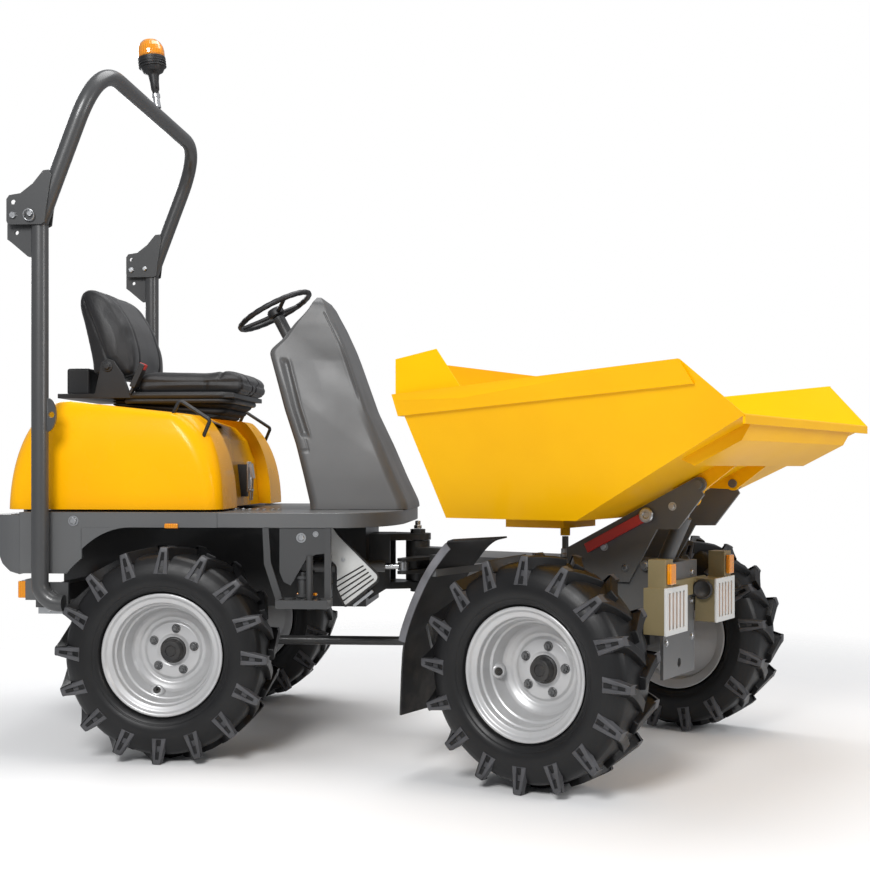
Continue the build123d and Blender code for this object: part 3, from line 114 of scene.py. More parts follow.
class Nodes:
    """A node tree, and the one method that makes its nodes, apart from the Math ones."""

    def __init__(self, tree):
        self.tree = tree

    def node(self, kind, settings=None, inputs=None, output=0):
        """Any node: its settings first, then its sockets' values or links."""
        made = self.tree.nodes.new("ShaderNode" + kind)
        for key, value in (settings or {}).items():
            setattr(made, key, value)
        for key, value in (inputs or {}).items():
            socket = made.inputs[key]
            if isinstance(value, Value):
                self.tree.links.new(value.socket, socket)
            elif isinstance(value, bpy.types.NodeSocket):
                self.tree.links.new(value, socket)
            else:
                socket.default_value = value
        return Value(self.tree, made.outputs[output])


class Finish(Nodes):
    """One material with its Principled shader, whose constants are given by their sockets' names."""

    def __init__(self, name, **constants):
        self.material = bpy.data.materials.new(name)
        self.material.use_nodes = True
        super().__init__(self.material.node_tree)
        self.shader = self.tree.nodes["Principled BSDF"]
        for socket, value in constants.items():
            self.shader.inputs[socket.replace("_", " ")].default_value = value
        self.place = self.tree.nodes.new("ShaderNodeTexCoord").outputs["Object"]

    def noise(self, scale, detail=2.0, roughness=0.5, stretch=None):
        """Noise on the object's own coordinates; stretch scales each axis."""
        place = self.place
        if stretch:
            place = self.node("Mapping", inputs={"Vector": place, "Scale": stretch})
        return self.node("TexNoise", inputs={"Vector": place, "Scale": scale, "Detail": detail,
                                             "Roughness": roughness})

    def between(self, value, low, high):
        """The value spread from 0 at low to 1 at high, and held there beyond."""
        return self.node("MapRange", {"clamp": True}, {"Value": value, "From Min": low, "From Max": high})

    def mix(self, factor, first, second):
        """Colour mix of two colours or links."""
        first, second = (entry if isinstance(entry, Value) else (*entry[:3], 1) for entry in (first, second))
        return self.node("Mix", {"data_type": "RGBA"}, {0: factor, 6: first, 7: second}, output=2)

    def grime_below_deck(self):
        """Painted shade on the rear half's inner steel, standing in for the shadow under the deck: 1 between the
        wheels below the deck, 0 elsewhere.
        """
        x, y, z = (self.node("SeparateXYZ", inputs={"Vector": self.place}, output=axis) for axis in range(3))
        inside = self.between((y - float(PIVOT[1])).math("ABSOLUTE"), 0.585, 0.560)
        return inside * self.between(z, 0.822, 0.806) * self.between(x, 0.06, -0.04)

    def set(self, **links):
        """Links into the shader's own sockets."""
        for socket, value in links.items():
            self.tree.links.new(value.socket, self.shader.inputs[socket.replace("_", " ")])

    def bump(self, height, distance, strength=1.0, below=None):
        """Bump from a height into the shader's Normal; below is a bump that this one rides on."""
        inputs = {"Height": height, "Distance": distance, "Strength": strength}
        if below:
            inputs["Normal"] = below
        return self.node("Bump", inputs=inputs)


def wear(finish, colour, spread, scale=3.0):
    """A colour that drifts a little lighter and darker over the piece, by slow noise."""
    dark = [channel * (1 - spread) for channel in colour]
    light = [min(1.0, channel * (1 + spread)) for channel in colour]
    return finish.mix(finish.between(finish.noise(scale, 3), 0.3, 0.7), dark, light)


def dust(finish, colour, amount):
    """A thin film of dry dust, thicker near the ground: the colour mixed with dust by height and noise."""
    height = finish.node("SeparateXYZ", inputs={"Vector": finish.place}, output=2)
    film = finish.between(height, 0.80, 0.20) * finish.between(finish.noise(9, 5, 0.65), 0.42, 0.75)
    return finish.mix(film * amount, colour, (0.36, 0.32, 0.26))


def paint(name, colour, roughness, coat, peel=0.00025, grime=0.0, specular=0.5):
    """Sprayed paint: slow colour drift, dust low down, painted shade below the deck where asked, orange peel,
    patchy gloss and a few fine scratches.
    """
    made = Finish(name, Coat_Roughness=0.06, IOR=1.5, Specular_IOR_Level=specular)
    drift = wear(made, colour, 0.045)
    # painted shade: near black mixed into the colour on the inner steel below the deck, standing in for its shadow
    if grime:
        drift = made.mix(made.grime_below_deck() * grime, drift, (0.012, 0.012, 0.012))
    made.set(Base_Color=dust(made, drift, 0.06))
    patch = made.noise(5, 4)
    scratch = made.between(made.noise(26, 2, 0.4, stretch=(1, 1, 9)), 0.70, 0.78)
    made.set(Roughness=made.between(patch, 0.2, 0.9) * 0.10 + (roughness - 0.05) + scratch * 0.06)
    made.set(Coat_Weight=(1 - scratch * 0.5) * coat)
    skin = made.noise(140, 2, 0.5)
    waves = made.noise(6, 1)
    made.set(Normal=made.bump(skin, peel, 0.5, made.bump(waves, 0.002, 0.12)))
    return made


def flaked(name, colour):
    """Silver wheel paint: fine metallic flake under a thin coat, with brake dust."""
    made = Finish(name, Coat_Weight=0.25, Coat_Roughness=0.12, Metallic=0.35)
    drift = wear(made, colour, 0.05, 6)
    dirt = made.between(made.noise(14, 6, 0.7), 0.52, 0.85)
    made.set(Base_Color=made.mix(dirt * 0.25, drift, (0.30, 0.27, 0.22)))
    made.set(Roughness=made.between(made.noise(11, 3), 0.2, 0.8) * 0.14 + 0.30)
    flake = made.noise(900, 1)
    made.set(Normal=made.bump(flake, 0.00012, 0.35, made.bump(made.noise(70, 2), 0.0003, 0.3)))
    return made


def plastic(name, colour, roughness, grain_scale, grain_depth, spread=0.06):
    """Moulded plastic: pebbled grain from cells, a slow drift of colour and gloss."""
    made = Finish(name, Specular_IOR_Level=0.5)
    made.set(Base_Color=dust(made, wear(made, colour, spread, 4), 0.18))
    grain = made.node("TexVoronoi", {"feature": "SMOOTH_F1"}, {"Vector": made.place, "Scale": grain_scale})
    made.set(Roughness=made.between(made.noise(7, 4), 0.25, 0.8) * 0.12 + (roughness - 0.06))
    made.set(Normal=made.bump(grain, grain_depth, 0.55, made.bump(made.noise(9, 2), 0.0015, 0.15)))
    return made


def vinyl(name, colour):
    """Seat vinyl: leather grain from two sizes of cells, softer gloss where it is sat on."""
    made = Finish(name, Sheen_Weight=0.15, Sheen_Roughness=0.4)
    made.set(Base_Color=wear(made, colour, 0.18, 8))
    coarse = made.node("TexVoronoi", {"feature": "DISTANCE_TO_EDGE"}, {"Vector": made.place, "Scale": 260})
    fine = made.node("TexVoronoi", {"feature": "F1"}, {"Vector": made.place, "Scale": 700})
    grain = made.between(coarse, 0.0, 0.25) + fine * 0.3
    made.set(Roughness=made.between(made.noise(6, 3), 0.3, 0.75) * 0.16 + 0.40)
    made.set(Normal=made.bump(grain, 0.0004, 0.5))
    return made


def tyre_rubber(name, colour):
    """Tyre rubber: nearly black with a faint bloom of dust, pitted."""
    made = Finish(name, Specular_IOR_Level=0.34)
    base = wear(made, colour, 0.22, 7)
    bloom = made.between(made.noise(11, 6, 0.7), 0.5, 0.8)
    made.set(Base_Color=made.mix(bloom * 0.02, base, (0.10, 0.095, 0.085)))
    made.set(Roughness=made.between(made.noise(16, 4), 0.2, 0.8) * 0.16 + 0.34)
    waves = made.bump(made.noise(22, 3), 0.002, 0.25)
    made.set(Normal=made.bump(made.noise(320, 4, 0.6), 0.0005, 0.5, waves))
    return made


def rubber(name, colour, roughness, lighter=1, drift=(0.25, 14), gloss=(18, 0.14), pits=300):
    """Plain matt rubber: drift is its colour's spread and scale, gloss the patches' scale and change."""
    made = Finish(name)
    made.set(Base_Color=wear(made, [channel * lighter for channel in colour], *drift))
    made.set(Roughness=made.between(made.noise(gloss[0], 4), 0.2, 0.8) * gloss[1] + roughness)
    made.set(Normal=made.bump(made.noise(pits, 3), 0.0004, 0.5))
    return made


def lens(name, colour):
    """Clear lens plastic, glossy, with fine vertical ribs inside."""
    made = Finish(name, Roughness=0.12, Coat_Weight=1.0, Coat_Roughness=0.03, Subsurface_Weight=0.15,
                  Subsurface_Scale=0.01)
    ribs = made.node("TexWave", {"wave_type": "BANDS", "bands_direction": "X"},
                     {"Vector": made.place, "Scale": 38, "Distortion": 0.3})
    made.set(Base_Color=made.mix(ribs, [channel * 0.8 for channel in colour], colour))
    made.set(Normal=made.bump(ribs, 0.0008, 0.3))
    return made


def metal(name, colour, roughness):
    """Bare metal with fine brushing along one axis and dull patches."""
    made = Finish(name, Metallic=1.0)
    made.set(Base_Color=wear(made, colour, 0.08, 9))
    lines = made.noise(60, 2, 0.6, stretch=(1, 1, 30))
    made.set(Roughness=made.between(made.noise(8, 4), 0.25, 0.8) * 0.15 + (roughness - 0.05) + lines * 0.08)
    made.set(Normal=made.bump(lines, 0.0002, 0.3))
    return made


FINISHES = {
    # slot or extra look: the function that makes it, the colour it takes, the function's other values
    "skip_paint": (paint, "skip", {"roughness": 0.36, "coat": 0.07, "specular": 0.10}),
    "hood_paint": (paint, "hood", {"roughness": 0.28, "coat": 0.14, "peel": 0.00015, "specular": 0.12}),
    # the chassis paint is darkened below the deck by painted shade
    "grey_paint": (paint, "chassis", {"roughness": 0.42, "coat": 0.18, "peel": 0.0004, "grime": 0.92}),
    "dark_paint": (paint, "tube", {"roughness": 0.38, "coat": 0.22, "peel": 0.0003}),
    "dark_grey_paint": (paint, "casting", {"roughness": 0.46, "coat": 0.12, "peel": 0.0006}),
    "cast_grey": (paint, "casting", {"roughness": 0.6, "coat": 0.05, "peel": 0.0012}),
    "black_steel": (paint, "vinyl", {"roughness": 0.42, "coat": 0.15, "peel": 0.0004}),
    "red_paint": (paint, "prop", {"roughness": 0.40, "coat": 0.2}),
    "rim_silver": (flaked, "rim", {}),
    "black_plastic": (plastic, "plastic", {"roughness": 0.48, "grain_scale": 420, "grain_depth": 0.0003}),
    "console_plastic": (plastic, "console", {"roughness": 0.42, "grain_scale": 520, "grain_depth": 0.00022}),
    "khaki_plastic": (plastic, "lamp_box", {"roughness": 0.45, "grain_scale": 380, "grain_depth": 0.0002}),
    "white_plastic": (plastic, "grille", {"roughness": 0.4, "grain_scale": 380, "grain_depth": 0.0001,
                                          "spread": 0.03}),
    "black_vinyl": (vinyl, "vinyl", {}),
    "tyre": (tyre_rubber, "rubber", {}),
    "bellows_rubber": (rubber, "rubber", {"roughness": 0.62, "drift": (0.2, 12), "gloss": (20, 0.15),
                                          "pits": 240}),
    # a lighter copy of the tyre rubber: painted light on the lug end blocks, standing in for their lit faces
    "rubbed_rubber": (rubber, "rubber", {"roughness": 0.42, "lighter": 9}),
    "edge_rubber": (rubber, "rubber", {"roughness": 0.45, "lighter": 22}),
    "amber_lens": (lens, "amber", {}),
    "bright_steel": (metal, "steel", {"roughness": 0.26}),
}


# ---------------------------------------------------------------- geometry helpers
def unit(vector):
    """Vectors scaled to length one along their last axis."""
    return vector / np.linalg.norm(vector, axis=-1, keepdims=True)


def rounded(points, radius, steps=5):
    """Polyline whose corners are eased by a quadratic curve that starts the given distance from each."""
    points = np.asarray(points, float)
    back = points[:-2] - points[1:-1]
    ahead = points[2:] - points[1:-1]
    reach_back = np.minimum(radius, 0.49 * np.linalg.norm(back, axis=1))[:, None]
    reach_ahead = np.minimum(radius, 0.49 * np.linalg.norm(ahead, axis=1))[:, None]
    first = points[1:-1] + unit(back) * reach_back
    last = points[1:-1] + unit(ahead) * reach_ahead
    step = np.linspace(0, 1, steps)[None, :, None]
    eased = ((1 - step) ** 2 * first[:, None] + 2 * step * (1 - step) * points[1:-1, None]
             + step ** 2 * last[:, None])
    return np.concatenate((points[:1], eased.reshape(-1, points.shape[1]), points[-1:]))


def rounded_loop(points, radius, steps=5):
    """Closed outline whose corners are eased."""
    points = np.asarray(points, float)
    join = (points[:1] + points[-1:]) / 2
    return rounded(np.concatenate((join, points, join)), radius, steps)[:-1]


def resampled(loop, count):
    """Closed outline walked at equal steps."""
    closed = np.concatenate((loop, loop[:1]))
    run = np.concatenate(([0], np.cumsum(np.linalg.norm(np.diff(closed, axis=0), axis=1))))
    at = np.linspace(0, run[-1], count, endpoint=False)
    return np.stack([np.interp(at, run, closed[:, axis]) for axis in range(closed.shape[1])], 1)


def capped(surface):
    """Rows of a tube-like grid, or of several, with a row drawn together in its middle added at each end."""
    ends = surface[..., [0, -1], :, :]
    middle = ends.mean(-2, keepdims=True) + ends * 0
    return np.concatenate((middle[..., :1, :, :], surface, middle[..., 1:, :, :]), -3)


class Shape:
    """Grids of points collected into one mesh, in the straight axes of the half that place() puts it on."""

    def __init__(self, place):
        self.place = place
        self.points = []
        self.faces = []
        self.count = 0

    def grid(self, surface, wrap_rows=False, wrap_columns=False):
        """Points of shape (rows, columns, 3) joined into quads; wrap joins the last line to the first."""
        rows, columns = surface.shape[:2]
        row = np.arange(rows if wrap_rows else rows - 1)[:, None]
        column = np.arange(columns if wrap_columns else columns - 1)[None, :]
        below = (row + 1) % rows * columns
        beside = (column + 1) % columns
        corners = np.broadcast_arrays(row * columns + column, row * columns + beside, below + beside,
                                      below + column)
        self.faces.append(np.stack(corners, -1).reshape(-1, 4) + self.count)
        self.points.append(surface.reshape(-1, 3))
        self.count += rows * columns
        return self

    def grids(self, surfaces, wrap_rows=False, wrap_columns=False):
        """Several grids of one size, given as an array of shape (count, rows, columns, 3)."""
        for surface in surfaces:
            self.grid(surface, wrap_rows, wrap_columns)
        return self

    def turned(self, profile, centre, axis, sides=48):
        """Profile of (distance along the axis, radius) turned about the axis through the centre."""
        profile = np.asarray(profile, float)
        axis = unit(np.asarray(axis, float))
        side = unit(np.cross(axis, (0.3, 0.2, 1.0) if abs(axis[2]) < 0.9 else (1.0, 0.0, 0.0)))
        other = np.cross(axis, side)
        angle = np.linspace(0, 2 * pi, sides, endpoint=False)
        ring = np.cos(angle)[:, None] * side + np.sin(angle)[:, None] * other
        surface = (np.asarray(centre, float) + profile[:, None, 0:1] * axis
                   + profile[:, None, 1:2] * ring[None])
        return self.grid(surface, wrap_columns=True)

    def rod(self, start, end, radius, sides=20, chamfer=0.0):
        """Round bar from start to end with closed, optionally chamfered, ends."""
        start, end = np.asarray(start, float), np.asarray(end, float)
        length = np.linalg.norm(end - start)
        profile = [(0, 0), (0, radius - chamfer), (chamfer, radius), (length - chamfer, radius),
                   (length, radius - chamfer), (length, 0)]
        return self.turned(profile, start, end - start, sides)

    def tube(self, path, radius, sides=16, normal=(0, 1, 0), closed=False):
        """Round tube along a path; normal is any direction that the path never runs along."""
        path = np.asarray(path, float)
        if closed:
            tangent = unit(np.roll(path, -1, 0) - np.roll(path, 1, 0))
        else:
            tangent = unit(np.gradient(path, axis=0))
        side = unit(np.cross(tangent, normal))
        other = np.cross(side, tangent)
        angle = np.linspace(0, 2 * pi, sides, endpoint=False)
        radius = np.broadcast_to(radius, len(path))[:, None, None]
        ring = (np.cos(angle)[None, :, None] * side[:, None] + np.sin(angle)[None, :, None] * other[:, None])
        surface = path[:, None] + radius * ring
        if not closed:
            surface = np.concatenate((np.broadcast_to(path[:1, None], surface[:1].shape), surface,
                                      np.broadcast_to(path[-1:, None], surface[:1].shape)))
        return self.grid(surface, wrap_rows=closed, wrap_columns=True)

    def box(self, centre, size, along=(1, 0, 0), up=(0, 0, 1)):
        """Block with its length along one direction and its height along another."""
        along = unit(np.asarray(along, float))
        across = unit(np.cross(up, along))
        axes = np.stack((along, across, np.cross(along, across)))
        signs = np.array([[-1, -1], [1, -1], [1, 1], [-1, 1]], float)
        ring = np.concatenate((signs, np.zeros((4, 1))), 1)
        half = np.asarray(size, float) / 2
        layers = capped(np.stack((ring + (0, 0, -1), ring + (0, 0, 1))))
        return self.grid(np.asarray(centre, float) + (layers * half) @ axes, wrap_columns=True)

    def slab(self, outline, low, high):
        """Flat slab: a closed outline in x and y between two heights."""
        middle = outline.mean(0, keepdims=True) + outline * 0
        layers = [np.concatenate((ring, ring[:, :1] * 0 + level), 1)
                  for level, ring in ((low, middle), (low, outline), (high, outline), (high, middle))]
        return self.grid(np.stack(layers), wrap_columns=True)

    def holed(self, outline, holes, radius, low, high):
        """Flat plate in x and z between two values of y, with round holes of one radius."""
        angle = np.linspace(0, 2 * pi, 20, endpoint=False)
        ring = np.stack((np.cos(angle), np.sin(angle)), 1) * radius
        loops = [np.asarray(outline, float)] + [ring + hole for hole in holes]
        work = bmesh.new()
        for loop in loops:
            corners = [work.verts.new((x, 0, z)) for x, z in loop]
            for first, second in zip(corners, corners[1:] + corners[:1]):
                work.edges.new((first, second))
        bmesh.ops.triangle_fill(work, use_beauty=True, edges=work.edges)
        work.verts.index_update()
        flat = np.array([vertex.co[:] for vertex in work.verts])
        faces = np.array([[vertex.index for vertex in face.verts] for face in work.faces])
        work.free()
        for level in (low, high):
            self.faces.append(faces + self.count)
            self.points.append(flat + (0, level, 0))
            self.count += len(flat)
        for loop in loops:
            wall = np.stack([np.stack((loop[:, 0], np.full(len(loop), level), loop[:, 1]), 1)
                             for level in (low, high)])
            self.grid(wall, wrap_columns=True)
        return self

    def made(self, name, body, slot, *nodes, bevel=0.0, segments=2, crease=35, look=None):
        """One Blender object from all that was added, riding on a body and standing for the CAD nodes."""
        mesh = bpy.data.meshes.new(name)
        points = self.place(np.concatenate(self.points))
        mesh.from_pydata(points.tolist(), [], [face for block in self.faces for face in block.tolist()])
        cleaned(mesh)
        return shown(mesh, name, body, slot, nodes, bevel, segments, crease, look)


SAME_POINT = 0.00001        # points nearer than this are one


def cleaned(mesh, distance=SAME_POINT, flat=None):
    """Merge doubled points, drop faces without area and turn all faces outwards."""
    work = bmesh.new()
    work.from_mesh(mesh)
    bmesh.ops.remove_doubles(work, verts=work.verts, dist=distance)
    bmesh.ops.dissolve_degenerate(work, edges=work.edges, dist=distance)
    if flat:
        bmesh.ops.dissolve_limit(work, angle_limit=radians(flat), verts=work.verts, edges=work.edges)
    bmesh.ops.recalc_face_normals(work, faces=work.faces)
    work.to_mesh(mesh)
    work.free()


def shown(mesh, name, body, slot, nodes=(), bevel=0.0, segments=2, crease=35, look=None):
    """Object of a mesh with its finish, shading and bevel, riding on a body and replacing CAD nodes."""
    piece = bpy.data.objects.new(name, mesh)
    bpy.context.scene.collection.objects.link(piece)
    mesh.materials.clear()
    mesh.materials.append(material(look or slot))
    mesh.shade_smooth()
    mesh.set_sharp_from_angle(angle=radians(crease))
    if bevel:
        edges = piece.modifiers.new("edges", "BEVEL")
        edges.width = bevel
        edges.segments = segments
        edges.limit_method = "ANGLE"
        edges.angle_limit = radians(crease)
        edges.harden_normals = True
    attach(piece, body)
    if nodes:
        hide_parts(*nodes)
    return piece


made_materials = {}


def material(slot):
    """The slot's finish, made once."""
    if slot not in made_materials:
        maker, colour_name, values = FINISHES[slot]
        tint = getattr(bpy.context.scene.dumper_colours, colour_name)
        made_materials[slot] = maker(slot, tint, **values).material
    return made_materials[slot]


NODE_SLOT = {entry["node"]: entry["material_slot"] for entry in frame["record"]["subparts"]}
NODE_BODY = {node: body for body, nodes in frame["record"]["behaviour"]["bodies"].items() for node in nodes}


def dressed(node, bevel=0.002, flat=1.0, segments=2, crease=30, look=None):
    """Copy of a CAD node's mesh, merged and eased at its edges, that stands for the node."""
    mesh = frame["nodes"][node].data.copy()
    cleaned(mesh, 2 * SAME_POINT, flat)
    return shown(mesh, node + "_look", NODE_BODY[node], NODE_SLOT[node], (node,), bevel, segments, crease,
                 look)


# ---------------------------------------------------------------- sizes and colours
def colour(name, description, default):
    """Colour property in linear values."""
    return bpy.props.FloatVectorProperty(name=name, description=description, default=default,
                                         subtype="COLOR", size=3, min=0, max=1)


def length(name, description, default):
    """Length property in metres."""
    return bpy.props.FloatProperty(name=name, description=description, default=default, min=0,
                                   subtype="DISTANCE", unit="LENGTH")


class DumperColours(bpy.types.PropertyGroup):
    """Colours of the finishes."""

    skip: colour("Skip", "Yellow enamel of the skip", (1.0, 0.50, 0.002))
    hood: colour("Hood", "Golden yellow of the moulded hood", (1.0, 0.455, 0.002))
    chassis: colour("Chassis", "Charcoal paint of the chassis and deck", (0.104, 0.106, 0.107))
    tube: colour("Tubes", "Charcoal powder coat of the roll bar and axles", (0.052, 0.053, 0.054))
    casting: colour("Castings", "Dark grey of the counterweight and cylinders", (0.092, 0.094, 0.096))
    prop: colour("Safety prop", "Signal red of the safety prop", (0.552, 0.034, 0.025))
    rim: colour("Rims", "Silver wheel paint", (0.50, 0.50, 0.502))
    plastic: colour("Black plastic", "Mudguards, handles and boxes", (0.013, 0.013, 0.014))
    console: colour("Console", "Charcoal plastic of the cowl", (0.088, 0.089, 0.090))
    lamp_box: colour("Lamp housings", "Olive grey plastic", (0.216, 0.175, 0.089))
    grille: colour("White plastic", "Lamp grilles and the side panel", (0.62, 0.63, 0.62))
    vinyl: colour("Seat", "Black vinyl", (0.014, 0.014, 0.015))
    rubber: colour("Rubber", "Tyres and bellows", (0.0065, 0.0065, 0.007))
    amber: colour("Amber", "Beacon and indicator lenses", (0.85, 0.30, 0.006))
    steel: colour("Steel", "Plated pins and rods", (0.55, 0.56, 0.57))


class DumperSizes(bpy.types.PropertyGroup):
    """Sizes of the detail that the looks add."""

    edge: length("Plate edge", "Rounding of cut plate edges", 0.002)
    moulded_edge: length("Moulded edge", "Rounding of the hood's creases", 0.007)
    lug_radius: length("Lug radius", "Tyre radius over the lugs", 0.3785)
    lug_width: length("Lug width", "Width of a lug along its top", 0.030)
    groove: length("Cowl groove", "Depth of the console's side groove", 0.010)


# ---------------------------------------------------------------- stage
class DUMPER_OT_stage(bpy.types.Operator):
    """Camera, pale floor and soft lights"""

    bl_idname = "dumper.stage"
    bl_label = "Stage"

    camera_place = (0.5558, -5.1143, 1.0369)
    camera_turn = 4.516
    camera_lens = 53.37
    camera_shift = (-0.02398, 0.03727)
    sky_colour = (0.93, 0.95, 1.0)
    sky_strength = 0.36
    floor_colour = (0.86, 0.86, 0.86)
    floor_radius = 4.2
    floor_fade = (2.3, 4.0)
    lights = (
        # name, place from the articulation, aim, size, power
        ("key", (-1.0, -5.6, 4.2), (0.0, 0.0, 0.8), 2.2, 275),
        ("top", (0.5, 0.6, 5.6), (0.2, 0.0, 0.8), 4.0, 170),
        ("front", (4.6, -2.4, 2.4), (0.6, -0.2, 0.8), 2.0, 75),
        ("back", (-3.6, 3.6, 3.2), (-0.4, 0.0, 1.2), 2.6, 90),
    )

    def execute(self, context):
        """Make the camera, the world, the floor and the lights."""
        scene = context.scene
        scene.view_settings.view_transform = "Standard"
        camera = bpy.data.cameras.new("camera")
        camera.lens = self.camera_lens
        camera.sensor_width = 36
        camera.shift_x, camera.shift_y = self.camera_shift
        view = bpy.data.objects.new("camera", camera)
        view.location = PIVOT + self.camera_place
        view.rotation_euler = (radians(90), 0, radians(self.camera_turn))
        scene.collection.objects.link(view)
        scene.camera = view
        self.light_world(scene)
        for name, place, aim, size, power in self.lights:
            lamp = bpy.data.lights.new(name, "AREA")
            lamp.shape = "DISK"
            lamp.size = size
            lamp.energy = power
            holder = bpy.data.objects.new(name, lamp)
            holder.location = PIVOT + place
            away = Vector(place) - Vector(aim)
            holder.rotation_euler = away.to_track_quat("Z", "Y").to_euler()
            scene.collection.objects.link(holder)
        self.lay_floor(scene)
        return {"FINISHED"}

    def light_world(self, scene):
        """White behind the object for the camera; a soft dimmer sky for everything else."""
        world = bpy.data.worlds.new("surroundings")
        world.use_nodes = True
        scene.world = world
        nodes = Nodes(world.node_tree)
        sky = nodes.tree.nodes["Background"]
        sky.inputs["Color"].default_value = (*self.sky_colour, 1)
        sky.inputs["Strength"].default_value = self.sky_strength
        white = nodes.node("Background", inputs={"Color": (1, 1, 1, 1)})
        seen = nodes.node("LightPath", output="Is Camera Ray")
        choice = nodes.node("MixShader", inputs={"Fac": seen, 1: sky.outputs[0], 2: white})
        nodes.tree.links.new(choice.socket, nodes.tree.nodes["World Output"].inputs["Surface"])

    def lay_floor(self, scene):
        """Disc of pale floor whose edge fades out, so that only the shadow shows on white."""
        angle = np.linspace(0, 2 * pi, 96, endpoint=False)
        rim = np.stack((np.cos(angle), np.sin(angle), angle * 0), 1) * self.floor_radius
        mesh = bpy.data.meshes.new("floor")
        mesh.from_pydata(rim.tolist(), [], [list(range(len(rim)))])
        floor = bpy.data.objects.new("floor", mesh)
        scene.collection.objects.link(floor)
        look = Finish("floor", Roughness=0.9, Specular_IOR_Level=0.0)
        look.shader.inputs["Base Color"].default_value = (*self.floor_colour, 1)
        distance = look.node("VectorMath", {"operation": "LENGTH"}, {0: look.place}, output=1)
        fade = look.node("MixShader", inputs={"Fac": look.between(distance, *self.floor_fade),
                                              1: look.shader.outputs[0], 2: look.node("BsdfTransparent")})
        look.tree.links.new(fade.socket, look.tree.nodes["Material Output"].inputs["Surface"])
        mesh.materials.append(look.material)


# ---------------------------------------------------------------- steelwork that keeps its CAD shape
class DUMPER_OT_steelwork(bpy.types.Operator):
    """Chassis, axles, deck, roll bar, lamps, skip and cylinders with eased edges and finishes"""

    bl_idname = "dumper.steelwork"
    bl_label = "Steelwork"

    # nodes whose edges are eased more or less than a cut plate's
    special_edges = {"counterweight": 0.010, "skip": 0.003, "lamp_boxes": 0.005, "document_box": 0.010,
                     "engine_block": 0.008, "deck": 0.004, "lamp_grilles": 0.0025,
                     "steer_rod": 0.0015, "tip_rod": 0.0015, "indicators": 0.004, "rear_lamps": 0.004,
                     "hood_handles": 0.0}

    nodes = ("rear_chassis", "rear_axle", "front_axle", "engine_block", "propshaft_rear", "propshaft_front",
             "counterweight", "side_skirts", "deck", "steps", "rear_lamps", "side_panel", "rops_posts",
             "document_box", "steering_column", "front_chassis", "tipping_frame", "lamp_boxes",
             "lamp_grilles", "indicators", "safety_prop", "skip", "hood_handles", "steer_barrel", "steer_rod",
             "tip_barrel", "tip_rod")

    def execute(self, context):
        """Dress every node in the list."""
        plate = context.scene.dumper_sizes.edge
        for node in self.nodes:
            dressed(node, self.special_edges.get(node, plate))
        dressed("hood", context.scene.dumper_sizes.moulded_edge, flat=0.5, segments=4, crease=24)
        dressed("seat_frame", 0.003, look="black_steel")
        return {"FINISHED"}


# ---------------------------------------------------------------- wheels
REAR_AXLE_X = -0.825
FRONT_AXLE_X = 0.875
AXLE_HEIGHT = JOINTS["wheel_rear_left_spin"]["pos_m"][2]
TYRE_MIDDLE = 0.600         # distance of a tyre's middle from the machine's
TYRE_HALF = 0.125           # half of its width
LUG_COUNT = 16
WHEELS = (
    # name, the half it belongs to, axle's x, side
    ("rear_right", rear, REAR_AXLE_X, -1), ("rear_left", rear, REAR_AXLE_X, 1),
    ("front_right", front, FRONT_AXLE_X, -1), ("front_left", front, FRONT_AXLE_X, 1),
)


def about_axle(radius, angle, across, axle_x, hand):
    """Points about an axle from radius, angle from the top forwards, and distance from the tyre's middle."""
    radius, angle, across = np.broadcast_arrays(radius, angle, across)
    return np.stack((axle_x + radius * np.sin(angle), hand * (TYRE_MIDDLE + across),
                     AXLE_HEIGHT + radius * np.cos(angle)), -1)


